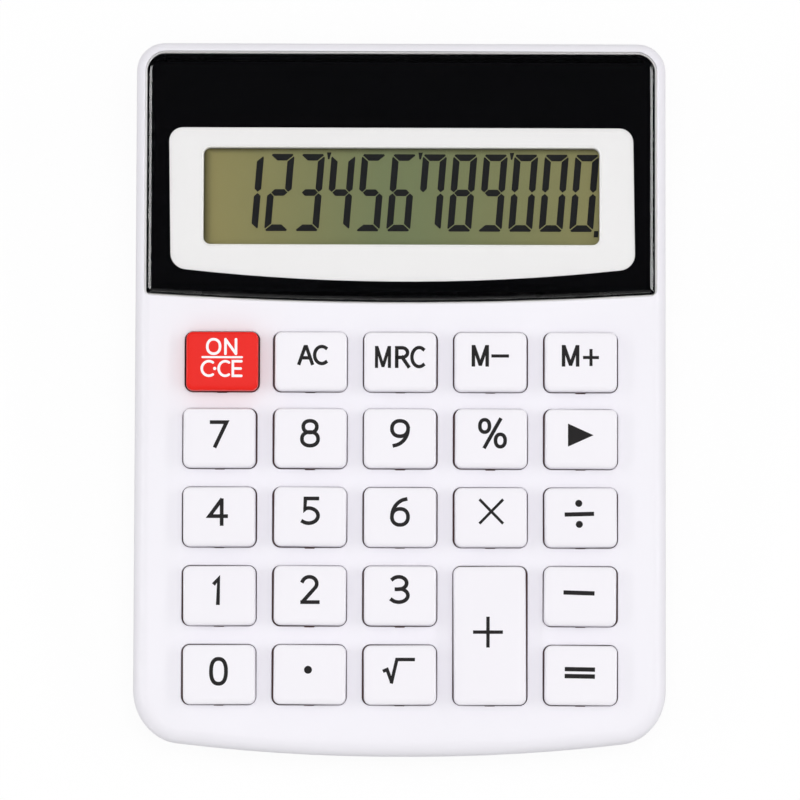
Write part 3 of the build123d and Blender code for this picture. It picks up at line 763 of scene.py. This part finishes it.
glyphs = {
    "0": [loop(0.5, 0.5, 0.5, 0.5, 2.4)],
    "1": [line((0, 0.82), (0.92, 1), (0.78, 0))],
    "2": [line(*arc(0.46, 0.735, 0.47, 0.265, 158, -32), (0.09, 0.06)), line((0, 0), (1, 0))],
    "3": [
        line(*arc(0.42, 0.755, 0.5, 0.245, 140, -90), (0.28, 0.51)),
        line((0.36, 0.51), *arc(0.42, 0.265, 0.58, 0.265, 78, -138)),
    ],
    "4": [line((0.74, 0), (0.74, 1)), line((0.7, 1), (0, 0.33), (1, 0.33))],
    "5": [line((0.95, 1), (0.16, 1), (0.13, 0.56), *arc(0.38, 0.305, 0.62, 0.305, 108, -128))],
    "6": [loop(0.5, 0.31, 0.5, 0.31), line(*arc(0.98, 0.31, 0.98, 0.69, 98, 180))],
    "7": [line((0, 1), (1, 1), (0.25, 0))],
    "8": [loop(0.5, 0.765, 0.42, 0.235), loop(0.5, 0.275, 0.5, 0.275)],
    "9": [loop(0.5, 0.69, 0.5, 0.31), line(*arc(0.02, 0.69, 0.98, 0.69, -82, 0))],
    "A": [line((0, 0), (0.45, 1), (0.55, 1), (1, 0)), line((0.2, 0.33), (0.8, 0.33))],
    "C": [line(*arc(0.64, 0.5, 0.64, 0.5, 56, 304))],
    "E": [line((1, 1), (0, 1), (0, 0), (1, 0)), line((0, 0.5), (0.92, 0.5))],
    "M": [
        line((0, 0), (0, 1)), line((1, 0), (1, 1)),
        line((0.06, 0.97), (0.48, 0.04), (0.52, 0.04), (0.94, 0.97)),
    ],
    "N": [line((0, 0), (0, 1)), line((1, 0), (1, 1)), line((0, 1), (1, 0))],
    "O": [loop(0.5, 0.5, 0.5, 0.5)],
    "R": [
        line((0, 0), (0, 1), *arc(0.45, 0.74, 0.48, 0.26, 90, -90), (0, 0.48)),
        line((0.48, 0.48), (1, 0)),
    ],
    "plus": [line((0, 0.5), (1, 0.5)), line((0.5, 0), (0.5, 1))],
    "minus": [line((0, 0.5), (1, 0.5))],
    "times": [line((0, 0), (1, 1)), line((0, 1), (1, 0))],
    "percent": [
        loop(0.19, 0.77, 0.19, 0.23), loop(0.81, 0.23, 0.19, 0.23), line((0.2, 0), (0.8, 1)),
    ],
    "root": [line((0, 0.5), (0.09, 0.55), (0.24, 0.03)), line((0.25, 0), (0.43, 1), (1, 1))],
    "play": [("patch", [(0, 0), (1, 0.5), (0, 1)])],
    "dot": [("patch", arc(0.5, 0.5, 0.5, 0.5, 0, 360)[:-1])],
}

# each key: how its cap stands off the middle of its opening, in mm, and its turn in degrees
# anticlockwise; then its glyphs: what, middle and size in mm from the key's middle, stroke in mm
keyTable = {
    "key_on_clear": [
        (0.04, -0.03, 0),
        ("O", -1.26, 2.39, 3.07, 3.42, 0.6),
        ("N", 2.14, 2.39, 2.62, 3.42, 0.6),
        ("minus", 0.45, 0.26, 8.29, 0.46, 0.46),
        ("C", -2.5, -2.01, 2.72, 3.43, 0.58),
        ("dot", -1.04, -2.01, 0.66, 0.66, 0),
        ("C", 0.78, -2.01, 2.56, 3.43, 0.58),
        ("E", 3.43, -2.01, 2.2, 3.43, 0.58),
    ],
    "key_all_clear": [
        (0.14, 0, 0),
        ("A", -0.9, 0.74, 3.27, 4.02, 0.62),
        ("C", 2.0, 0.74, 2.92, 4.1, 0.62),
    ],
    "key_memory_recall": [
        (-0.04, -0.03, 0),
        ("M", -3.48, 0.39, 3.2, 4.4, 0.57),
        ("R", 0.42, 0.39, 3.02, 4.4, 0.64),
        ("C", 3.42, 0.39, 2.94, 4.5, 0.62),
    ],
    "key_memory_minus": [
        (0, -0.03, 0),
        ("M", -2.07, 0.68, 3.46, 4.33, 0.64),
        ("minus", 1.9, 0.66, 3.51, 0.58, 0.58),
    ],
    "key_memory_plus": [
        (0.05, 0.02, 0),
        ("M", -2.06, 0.73, 3.51, 4.33, 0.64),
        ("plus", 2.01, 0.4, 3.19, 3.41, 0.56),
    ],
    "key_7": [(-0.07, 0, 0), ("7", -0.09, 0.58, 3.72, 5.5, 0.68)],
    "key_8": [(0.13, 0.04, -0.2), ("8", 0.03, 0.79, 3.96, 5.71, 0.68)],
    "key_9": [(-0.04, 0.02, 0), ("9", -0.04, 0.84, 3.97, 5.71, 0.68)],
    "key_percent": [(0.14, 0.03, -0.2), ("percent", 0.39, 0.9, 5.77, 6.11, 0.66)],
    "key_step_back": [(0.1, 0, -0.2), ("play", -0.02, 0.57, 5.1, 4.63, 0)],
    "key_4": [(-0.02, -0.02, 0.25), ("4", -0.28, 0.7, 4.07, 5.47, 0.68)],
    "key_5": [(0.13, 0.04, -0.35), ("5", 0.19, 1.01, 3.76, 5.67, 0.68)],
    "key_6": [(0.04, -0.04, 0), ("6", 0.0, 0.83, 3.96, 5.9, 0.68)],
    "key_times": [(0.11, -0.02, 0.2), ("times", 0.18, 0.98, 4.89, 5.0, 0.5)],
    "key_divide": [
        (0.03, 0, 0.35),
        ("minus", -0.28, 0.5, 5.87, 0.76, 0.76),
        ("dot", -0.34, 2.66, 1.4, 1.4, 0),
        ("dot", -0.34, -1.53, 1.4, 1.4, 0),
    ],
    "key_1": [(0.09, -0.04, 0.35), ("1", -0.38, 0.71, 1.6, 5.61, 0.7)],
    "key_2": [(0.13, 0.04, -0.3), ("2", 0.16, 1.04, 3.85, 5.78, 0.68)],
    "key_3": [(0.08, 0.02, 0), ("3", 0.05, 1.09, 3.9, 5.78, 0.68)],
    "key_plus": [(-0.06, -0.04, 0.35), ("plus", -0.44, 0.52, 5.95, 6.14, 0.62)],
    "key_minus": [(-0.1, -0.02, -0.35), ("minus", -0.37, 0.5, 6.18, 0.78, 0.78)],
    "key_0": [(0.13, -0.04, 0.3), ("0", 0.05, 0.42, 3.74, 5.71, 0.7)],
    "key_point": [(0.13, 0, -0.35), ("dot", -0.18, 0.78, 1.58, 1.58, 0)],
    "key_root": [(0.1, -0.04, 0.35), ("root", -0.13, 0.65, 6.4, 5.14, 0.62)],
    "key_equals": [
        (0.05, -0.02, -0.35),
        ("minus", -0.18, 1.02, 6.02, 0.78, 0.78),
        ("minus", -0.18, -0.36, 6.02, 0.8, 0.8),
    ],
}
legendLook = {
    "under": 0.03 * mm,
    "over": 0.02 * mm,
    "layer": 0.002 * mm,  # each stroke of a key stands this much over the one before
    "inkSpread": 1.1,  # printed strokes come out a little wider
    "redSpread": 0.88,  # and those in white on the red key a little narrower
    "mitre": 0.16,  # so that a mitre is at most 2.5 half widths long
}


def sideways(points, closed):  # unit offsets to the left of a run of points, mitred
    count = len(points)
    offsets = []
    for k in range(count):
        normals = []
        for first in (k - 1, k):
            if closed or 0 <= first < count - 1:
                (x, y), (nextX, nextY) = points[first], points[(first + 1) % count]
                size = hypot(nextX - x, nextY - y)
                normals.append(((y - nextY) / size, (nextX - x) / size))
        x, y = (sum(normal[i] for normal in normals) / len(normals) for i in (0, 1))
        spread = max(x * x + y * y, legendLook["mitre"])
        offsets.append((x / spread, y / spread))
    return offsets


def addStroke(shape, kind, points, width, low, high, roundEnds):
    if kind == "patch":
        addPrism(shape, points, low, high)
        return
    half = width / 2
    closed = kind == "loop"
    offsets = sideways(points, closed)
    if not closed and not roundEnds:  # a cut end reaches as far as a round one would
        points = list(points)
        for end, way in ((0, 1), (-1, -1)):
            (x, y), (dx, dy) = points[end], offsets[end]
            points[end] = (x - way * dy * half, y + way * dx * half)
    rows = []
    for side, height in ((half, low), (-half, low), (-half, high), (half, high)):
        outline = [(x + dx * side, y + dy * side) for (x, y), (dx, dy) in zip(points, offsets)]
        rows.append(addLoop(shape, outline, height))
    for k in range(len(points) - (not closed)):
        after = (k + 1) % len(points)
        for first, second in zip(rows, rows[1:] + rows[:1]):
            shape.faces.new((first[k], second[k], second[after], first[after]))
    if closed:
        return
    shape.faces.new([row[0] for row in rows])
    shape.faces.new([row[-1] for row in rows][::-1])
    for end, start in ((-1, pi), (0, 0)) if roundEnds else ():
        (x, y), (dx, dy) = points[end], offsets[end]
        turns = [atan2(dy, dx) + start + pi * k / 8 for k in range(9)]
        addPrism(shape, [(x + half * cos(t), y + half * sin(t)) for t in turns], low, high)


def makeLegend(node, x, y, top):
    look = legendLook
    shape = bmesh.new()
    red = slotOf[node] == "key_red"
    layer = 0
    for glyph, moveX, moveY, width, height, stroke in keyTable[node][1:]:
        stroke *= look["redSpread" if red else "inkSpread"]
        spanX, spanY = max(width - stroke, 0) * mm, max(height - stroke, 0) * mm
        startX, startY = x + moveX * mm - spanX / 2, y + moveY * mm - spanY / 2
        for kind, points in glyphs[glyph]:
            placed = [(startX + px * spanX, startY + py * spanY) for px, py in points]
            placed = turned(placed, legendTurn.get(node, 0), x, y)
            high = top + look["over"] + layer * look["layer"]
            addStroke(shape, kind, placed, stroke * mm, top - look["under"], high, red)
            layer += 1
    ink = "legendWhite" if red else "legendInk"
    pieceOf(shape, node.replace("key_", "legend_"), node, finish=ink, replaces=False)


for node in sorted(openings):
    makeLegend(node, *makeCap(node))
print("keys made:", len(keyTable))

# Display: black print behind the lens, the clear cover and the window's raised rim
maskLook = {
    "inside": 0.06 * mm,  # how much smaller the print is than the cover
    "frame": (48.2 * mm, 18.6 * mm),  # half sizes that lie between its inner and outer edges
    "lean": 0.46 * mm,  # how far the foot of its clear field leans to the right
    "leanFrom": (14 * mm, -16 * mm),
}


def makeMask():  # the print reaches the lens's edges
    middleX, middleY = middleOf(lensLow, lensHigh)[:2]
    growX, growY = (
        (lensHigh[i] - lensLow[i] - maskLook["inside"]) / (maskHigh[i] - maskLow[i])
        for i in (0, 1)
    )
    frameX, frameY = maskLook["frame"]
    shape = mergedCopy("display_mask")
    for vert in shape.verts:
        x, y = vert.co.x - middleX, vert.co.y - windowY
        if abs(x) > frameX or abs(y) > frameY:
            vert.co.x = middleX + x * growX
            vert.co.y = middleY + (vert.co.y - middleY) * growY
        else:
            vert.co.x += maskLook["lean"] * shareOf(y, *maskLook["leanFrom"])
    pieceOf(shape, "maskPrint", "display_mask", sharp=30)


lensLook = {
    "sharp": 14,
    "rings": [  # how far out from its flat top each one stands and how far under it, in mm
        (0.5, 1.9), (0.5, 0.78), (0.46, 0.72), (0.06, 0.72), (0.02, 0.42),
        (-0.42, 0.16), (-0.6, 0.075), (-0.78, 0.02), (-0.9, 0.0),
        (-1.3, 0.0),  # so that the flat top has its own normals alone
    ],
}


def makeLens():  # the clear cover, from its solid's own outline
    shape = mergedCopy("display_lens")
    level = max(vert.co.z for vert in shape.verts)
    top = max(shape.faces, key=lambda face: face.calc_center_median().z)
    outline = [(vert.co.x, vert.co.y) for vert in top.verts]
    shape.free()
    offsets = sideways(outline, True)
    middle = sum(x for x, y in outline) / len(outline)
    side = -1 if (outline[0][0] - middle) * offsets[0][0] < 0 else 1
    shape = bmesh.new()
    rings = []
    for out, down in lensLook["rings"]:
        reach = side * out * mm
        points = [(x + dx * reach, y + dy * reach) for (x, y), (dx, dy) in zip(outline, offsets)]
        rings.append(addLoop(shape, points, level - down * mm))
    addSkin(shape, rings)
    pieceOf(shape, "lensSheet", "display_lens", sharp=lensLook["sharp"])


rimLook = {
    "window": (39.6 * mm, 9.75 * mm, 1.4 * mm),  # half sizes and radius
    "gap": 0.02 * mm,
    "width": 0.42 * mm,
    "height": 0.16 * mm,
    "sunk": 0.1 * mm,
    "steps": 5,
}


def makeRim():  # a low bead round the window, standing on the pocket's floor, in a brighter white that paints a highlight line
    look, steps = rimLook, rimLook["steps"]
    shape = bmesh.new()
    loops = []
    for k in range(steps + 1):
        turn = pi * k / steps
        out = look["width"] * (1 - cos(turn)) / 2 + look["gap"]
        height = maskLow.z - (look["sunk"] if k in (0, steps) else 0) + look["height"] * sin(turn)
        outline = roundedOutline(*(size + out for size in look["window"]))
        outline = [(x + openingLook["windowRight"] * (x > 0), y) for x, y in outline]
        loops.append(addLoop(shape, outline, height, (windowX, windowY)))
    for inner, outer in zip(loops, loops[1:] + loops[:1]):
        joinLoops(shape, inner, outer)
    pieceOf(shape, "windowRim", "top_housing", sharp=60, finish="rimWhite", replaces=False)


makeMask()
makeLens()
makeRim()

# Silicone keypad: its sheet stays with the case, a dome stands under each key
domeLook = {
    "rings": [(4.0, 0.0), (3.9, 0.12), (3.3, 0.34), (2.8, 0.6), (2.65, 0.9), (2.5, 1.0)],
    "radius": 1.1 * mm,
    "sunk": 0.05 * mm,
    "near": 4 * mm,  # a dome of the solid that lies this near is a key's own
}


def makeKeypad():
    shape = mergedCopy("keypad_membrane")
    levels = sorted({round(vert.co.z, 6) for vert in shape.verts})
    sheetTop, domeTop = levels[1], levels[-1]
    tops = [vert.co.copy() for vert in shape.verts if round(vert.co.z, 6) == domeTop]
    for vert in shape.verts:
        vert.co.z = min(vert.co.z, sheetTop)
    pieceOf(shape, "keypadSheet", "keypad_membrane", sharp=30)
    base, near = sheetTop - domeLook["sunk"], domeLook["near"]
    for node, place in openings.items():
        x, y = place[:2]
        own = [top for top in tops if abs(top.x - x) < near and abs(top.y - y) < near]
        middle = sum(own, Vector()) / len(own)
        shape = bmesh.new()
        loops = []
        for half, share in domeLook["rings"]:
            outline = roundedOutline(half * mm, half * mm, domeLook["radius"], 3)
            loops.append(addLoop(shape, outline, base + (domeTop - base) * share, middle))
        addSkin(shape, loops)
        name, whole = node.replace("key_", "dome_"), "keypad_membrane"
        dome = pieceOf(shape, name, whole, sharp=50, replaces=False, rides=False)
        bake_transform(dome)


makeKeypad()
print("keypad made")

# Liquid crystal digits: seven bars in a slanted cell
digitLook = {
    "text": "123456789000",
    "width": 4.82 * mm,
    "height": 15.6 * mm,
    "bar": 1.34 * mm,
    "gap": 0.11 * mm,
    "pitch": 6.126 * mm,
    "firstRight": -27.5 * mm,  # the first cell's upper right corner, from the window's middle
    "bottom": -6.95 * mm,
    "slant": radians(4.7),
    "marksAfter": (2, 5, 8),
    "mark": [(0.34, 0.34), (1.24, 0.34), (0.96, -1.05), (0.64, -1.05)],  # from a cell's corner
    "point": [(0.2, -1.1), (1.1, -1.1), (1.1, 0.2), (0.2, 0.2)],
    "under": 0.01 * mm,
    "over": 0.015 * mm,
}
# which bars each digit lights, from 0 to 9
barsOfDigits = "abcdef bc abged abgcd fgbc afgcd afgedc fabc abcdefg abcdfg".split()


def barShapes():
    w, h, t, g = (digitLook[k] for k in ("width", "height", "bar", "gap"))
    m = h / 2
    halfTop = [(w / 2, h), (w - 0.32 * t, h), (w - 0.16 * t, h - 0.2 * t), (w - t - g, h - t)]
    upper = [
        (0, h - 0.55 * t),
        (0.12 * t, h - 0.38 * t),
        (t, h - t - 1.6 * g),
        (t, m + t / 2 + g),
        (t / 2, m + g),
        (0, m + t / 2),
    ]
    halfMiddle = [(t + g, m - t / 2), (t / 2 + g, m), (t + g, m + t / 2)]

    def flipX(points):
        return [(w - x, y) for x, y in points]

    def flipY(points):
        return [(x, h - y) for x, y in points]

    top = halfTop + flipX(halfTop)[::-1][:-1]
    return {
        "a": top,
        "b": flipX(upper),
        "c": flipY(flipX(upper)),
        "d": flipY(top),
        "e": flipY(upper),
        "f": upper,
        "g": halfMiddle + flipX(halfMiddle)[::-1],
    }


def makeDigits():
    look = digitLook
    width, height, lean = look["width"], look["height"], tan(look["slant"])
    filmTop = faceBox("lcd_front_polariser")[1].z
    shape = bmesh.new()
    bars = barShapes()

    def addMark(points, cell):
        start = windowX + look["firstRight"] - width + cell * look["pitch"] - height * lean
        placed = [(start + x + y * lean, windowY + look["bottom"] + y) for x, y in points]
        addPrism(shape, placed, filmTop - look["under"], filmTop + look["over"])

    for cell, digit in enumerate(look["text"]):
        for bar in barsOfDigits[int(digit)]:
            addMark(bars[bar], cell)
    for cell in look["marksAfter"]:
        addMark([(width + x * mm, height + y * mm) for x, y in look["mark"]], cell)
    addMark([(width + x * mm, y * mm) for x, y in look["point"]], len(look["text"]) - 1)
    pieceOf(shape, "lcdDigits", "lcd_front_polariser", finish="segmentInk", replaces=False)


makeDigits()
print("display made")


def makeSpreadTree():  # one tree spreads copies of a part over points
    tree = bpy.data.node_groups.new("spreadParts", "GeometryNodeTree")
    inputs = {"Geometry": "Geometry", "Part": "Object", "Lean": "Float", "Turn": "Float"}
    for name, kind in {**inputs, "Seed": "Int", "Finish": "Material"}.items():
        tree.interface.new_socket(name, in_out="INPUT", socket_type="NodeSocket" + kind)
    tree.interface.new_socket("Geometry", in_out="OUTPUT", socket_type="NodeSocketGeometry")
    kinds = {
        "given": "NodeGroupInput",
        "points": "GeometryNodeMeshToPoints",
        "part": "GeometryNodeObjectInfo",
        "copies": "GeometryNodeInstanceOnPoints",
        "lean": "ShaderNodeCombineXYZ",
        "chance": "FunctionNodeRandomValue",
        "spin": "ShaderNodeCombineXYZ",
        "spun": "GeometryNodeRotateInstances",
        "real": "GeometryNodeRealizeInstances",
        "painted": "GeometryNodeSetMaterial",
        "result": "NodeGroupOutput",
    }
    made = {name: tree.nodes.new(kind) for name, kind in kinds.items()}
    made["chance"].data_type = "FLOAT"
    for source, output, target, entry in (
        ("given", "Geometry", "points", "Mesh"),
        ("given", "Part", "part", "Object"),
        ("given", "Lean", "lean", "X"),
        ("points", "Points", "copies", "Points"),
        ("part", "Geometry", "copies", "Instance"),
        ("lean", "Vector", "copies", "Rotation"),
        ("given", "Turn", "chance", 3),
        ("given", "Seed", "chance", "Seed"),
        ("chance", 1, "spin", "Z"),
        ("copies", "Instances", "spun", "Instances"),
        ("spin", "Vector", "spun", "Rotation"),
        ("spun", "Instances", "real", "Geometry"),
        ("real", "Geometry", "painted", "Geometry"),
        ("given", "Finish", "painted", "Material"),
        ("painted", "Geometry", "result", "Geometry"),
    ):
        tree.links.new(made[source].outputs[output], made[target].inputs[entry])
    return tree


spreadTree = makeSpreadTree()


def spreadPiece(name, node, mesh, places, lean=0.0, turn=0.0, seed=1):
    part = linked("part", mesh)
    points = bpy.data.meshes.new("places")
    points.from_pydata(places, [], [])
    carrier = linked("carrier", points)
    modifier = carrier.modifiers.new("spread", "NODES")
    modifier.node_group = spreadTree
    given = {"Part": part, "Lean": lean, "Turn": turn, "Seed": seed, "Finish": finishOf(node)}
    for item in spreadTree.interface.items_tree:
        if item.in_out == "INPUT" and item.name in given:
            modifier[item.identifier] = given[item.name]
    mesh = finished(carrier)
    bpy.data.objects.remove(part)
    keepPiece(name, mesh, node)


def islandBoxes(node):  # the boxes of a node's separate solids, in face coordinates
    shape = mergedCopy(node)
    left = set(shape.verts)
    boxes = []
    while left:
        stack = [left.pop()]
        found = list(stack)
        while stack:
            near = {vert for edge in stack.pop().link_edges for vert in edge.verts} & left
            left -= near
            stack += near
            found += near
        boxes.append(boxOf([vert.co for vert in found]))
    shape.free()
    return sorted(boxes, key=lambda box: (round(box[0].x, 4), box[0].y))


def latheMesh(name, profile, steps):  # profile points as radius and height, turned about Z
    shape = bmesh.new()
    turns = [2 * pi * k / steps for k in range(steps)]
    loops = []
    for radius, height in profile:
        outline = [(radius * cos(turn), radius * sin(turn)) for turn in turns]
        loops.append(addLoop(shape, outline if radius else [(0, 0)], height))
    for lower, upper in zip(loops, loops[1:]):
        if len(lower) == len(upper):
            joinLoops(shape, lower, upper)
        else:
            (pole,), ring = sorted((lower, upper), key=len)
            for k in range(steps):
                shape.faces.new((pole, ring[k], ring[(k + 1) % steps]))
    return meshOf(shape, name, 35)


screwLook = {
    "steps": 28,
    "head": [(0, 1), (0.72, 1), (0.93, 0.8), (1, 0.5), (1, 0)],  # in shares of its sizes
    "pitch": 0.8 * mm,
    "threadDepth": 0.16 * mm,
    "tip": (1.4, 0.35),  # the thread ends this many pitches above it; its share of the shank
    "cross": (0.62, 0.125),  # half an arm's length and width, in head radii
    "crossHeights": (1.4, 0.42),  # over the seat, in head heights
    "crossDraft": 0.7,  # how much smaller it is at its foot
}


def makeScrewMesh(head, headRadius, shankRadius, shank):
    # the seat of the head is at height 0, its top at -head, its tip at +shank
    look, pitch, (plain, tip) = screwLook, screwLook["pitch"], screwLook["tip"]
    profile = [(out * headRadius, -up * head) for out, up in look["head"]] + [(shankRadius, 0)]
    height = pitch
    while height < shank - plain * pitch:
        profile += [(shankRadius, height)]
        profile += [(shankRadius - look["threadDepth"], height + pitch / 2)]
        height += pitch
    profile += [(shankRadius, shank - pitch), (shankRadius * tip, shank), (0, shank)]
    carrier = linked("carrier", latheMesh("screw", profile, look["steps"]))
    long, short = (share * headRadius for share in look["cross"])
    cutters = []
    for x, y in ((long, short), (short, long)):
        shape = bmesh.new()
        loops = []
        for share, up in zip((1, look["crossDraft"]), look["crossHeights"]):
            outline = rectangle(-x * share, -y * share, x * share, y * share)
            loops.append(addLoop(shape, outline, -head * up))
        addSkin(shape, loops)
        cutters.append(linked("cross", meshOf(shape, "cross")))
        cut = carrier.modifiers.new("cross", "BOOLEAN")
        cut.operation = "DIFFERENCE"
        cut.object = cutters[-1]
    mesh = finished(carrier)
    for cutter in cutters:
        bpy.data.objects.remove(cutter)
    smoothed(mesh, 35)
    return mesh


def makeScrews(name, node, headShare, shankShare, seed):
    boxes = islandBoxes(node)
    low, high = boxes[0]
    headRadius = (high.x - low.x) / 2
    whole = high.z - low.z
    head = whole * headShare
    mesh = makeScrewMesh(head, headRadius, headRadius * shankShare, whole - head)
    places = [onFace @ Vector((*middleOf(low, high)[:2], low.z + head)) for low, high in boxes]
    spreadPiece(name, node, mesh, places, tilt, radians(180), seed)


# head height to the whole screw's, shank radius to the head's, seed of the turns
makeScrews("caseScrewSet", "case_screws", 1.5 / 7.3, 0.95 / 2.3, 4)
makeScrews("boardScrewSet", "board_screws", 1.2 / 4.8, 0.75 / 1.9, 9)

footLook = {
    "rings": (0.25, 0.45, 0.65),  # where its grooves begin, in radii
    "groove": [(0, 0), (0.15 * mm, 1), (0.35 * mm, 1), (0.5 * mm, 0)],
    "depth": 0.12 * mm,
    "edge": (0.35 * mm, 0.3),  # its radius, and the share that its soft part takes
    "steps": 40,
}


def makeFeet():
    middles = [onFace @ Vector(middleOf(*box)) for box in islandBoxes("rubber_feet")]
    low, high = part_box("rubber_feet")
    radius = abs(low.x - middles[0].x)
    height = high.z - low.z
    edge, share = footLook["edge"]
    soft = edge * share
    profile = [(0, 0)]
    for start in footLook["rings"]:
        groove = footLook["groove"]
        profile += [(radius * start + out, deep * footLook["depth"]) for out, deep in groove]
    profile += [(radius - edge, 0), (radius - soft, soft), (radius, edge)]
    profile += [(radius, height), (0, height)]
    places = [(place.x, place.y, 0) for place in middles]
    spreadPiece("footPads", "rubber_feet", latheMesh("foot", profile, footLook["steps"]), places)


makeFeet()
print("screws and feet made")

# the stage: floor, studio, lamps and camera
floorLook = {
    "size": 9.0,
    "level": -0.02 * mm,
    "colour": (0.92, 0.92, 0.92, 1),
    "cloud": (0.9, 0.9, 0.9, 1),
    "bounce": (0.72, 0.72, 0.72, 1),  # what the floor gives back to the object
    "lift": 0.9,
}


def makeFloor():
    shader = newShader("floorPaper")
    base = shader.blend(shader.noise(60, 3) * 0.1, floorLook["colour"], floorLook["cloud"])
    seen = shader.ray("Is Camera Ray")
    base = shader.blend(seen, floorLook["bounce"], base)
    paper = shader.solid(base, 0.9, {"Specular IOR Level": 0.1})
    glow = shader.add("ShaderNodeEmission", values={"Color": (1, 1, 1, 1), "Strength": 1.0})
    shader.finish(shader.mixed(seen * floorLook["lift"], paper, glow))
    half = floorLook["size"] / 2
    corners = [(x, y, floorLook["level"]) for x, y in rectangle(-half, -half, half, half)]
    mesh = bpy.data.meshes.new("floor")
    mesh.from_pydata(corners, [], [(0, 1, 2, 3)])
    mesh.materials.append(bpy.data.materials["floorPaper"])
    linked("floor", mesh)


# what mirrors the studio sees it dark overhead, with a narrow strip at each side
studioLook = {
    "low": 0.42,
    "high": 0.32,
    "shine": 0.7,
    "dark": 0.0,
    "darkFrom": (0.1, 0.4),
    "side": 8.0,
    "sideAcross": (0.78, 0.84),
    "sideHeights": (0.42, 0.56),
}


def makeStudio():
    look = studioLook
    world = bpy.data.worlds.new("studio")
    scene.world = world
    shader = Shader(world)
    height, across = (shader.axis(name, "Generated") for name in "ZX")
    mirrored = shader.limits(height, *look["darkFrom"], look["shine"], look["dark"])
    low, high = look["sideHeights"]
    strip = shader.limits(across.size(), *look["sideAcross"]) * (height > low) * (height < high)
    mirrored = mirrored + strip * look["side"]
    camera = shader.ray("Is Camera Ray")
    matt = shader.ray("Diffuse Depth") > 0.5
    clear = (shader.ray("Is Glossy Ray") + shader.ray("Is Transmission Ray") > 0.5) * (1 - matt)
    ambient = look["low"] + look["high"] * shader.limits(height, 0, 1)
    strength = camera + (1 - camera) * (clear * mirrored + (1 - clear) * ambient)
    glow = shader.add("ShaderNodeBackground", values={"Color": (1, 1, 1, 1), "Strength": strength})
    shader.add("ShaderNodeOutputWorld", values={"Surface": glow})


# each lamp: name, where it stands, width, height, watts; all face the object
lamps = [
    ("boxTop", (0.2, -0.25, 3.0), 2.0, 2.0, 29.0),
    ("boxFront", (-0.3, -2.55, 1.4), 2.4, 0.9, 3.0),
    ("stripLeft", (-2.55, 0, 1.86), 2.7, 0.5, 12.0),
    ("stripRight", (2.55, 0, 1.86), 2.7, 0.5, 15.0),
]


def makeLamps():
    for name, place, width, height, watts in lamps:
        lamp = bpy.data.lights.new(name, "AREA")
        lamp.shape = "RECTANGLE"
        lamp.size = width
        lamp.size_y = height
        lamp.energy = watts
        holder = linked(name, lamp)
        holder.location = place
        holder.visible_glossy = name != "boxTop"  # not to be seen in the lens
        aim = Vector((0, 0, 20 * mm)) - Vector(place)
        holder.rotation_euler = aim.to_track_quat("-Z", "Y").to_euler()


cameraLook = {
    "aim": (-0.00006, -0.00183, 0.02),
    "distance": 1.19,
    "elevation": 79.47,
    "roll": 0.17,
    "lens": 268.1,
    "sensor": 36.0,
    "near": 0.05,
}


def makeCamera():
    lean = Matrix.Rotation(radians(90 - cameraLook["elevation"]), 4, "X")
    roll = Matrix.Rotation(radians(cameraLook["roll"]), 4, "Z")
    back = Matrix.Translation((0, 0, cameraLook["distance"]))
    data = bpy.data.cameras.new("camera")
    data.lens = cameraLook["lens"]
    data.sensor_width = cameraLook["sensor"]
    data.clip_start = cameraLook["near"]
    scene.camera = linked("camera", data)
    scene.camera.matrix_world = Matrix.Translation(cameraLook["aim"]) @ lean @ roll @ back


makeFloor()
makeStudio()
makeLamps()
makeCamera()
scene.view_settings.view_transform = "Standard"
print("stage made")
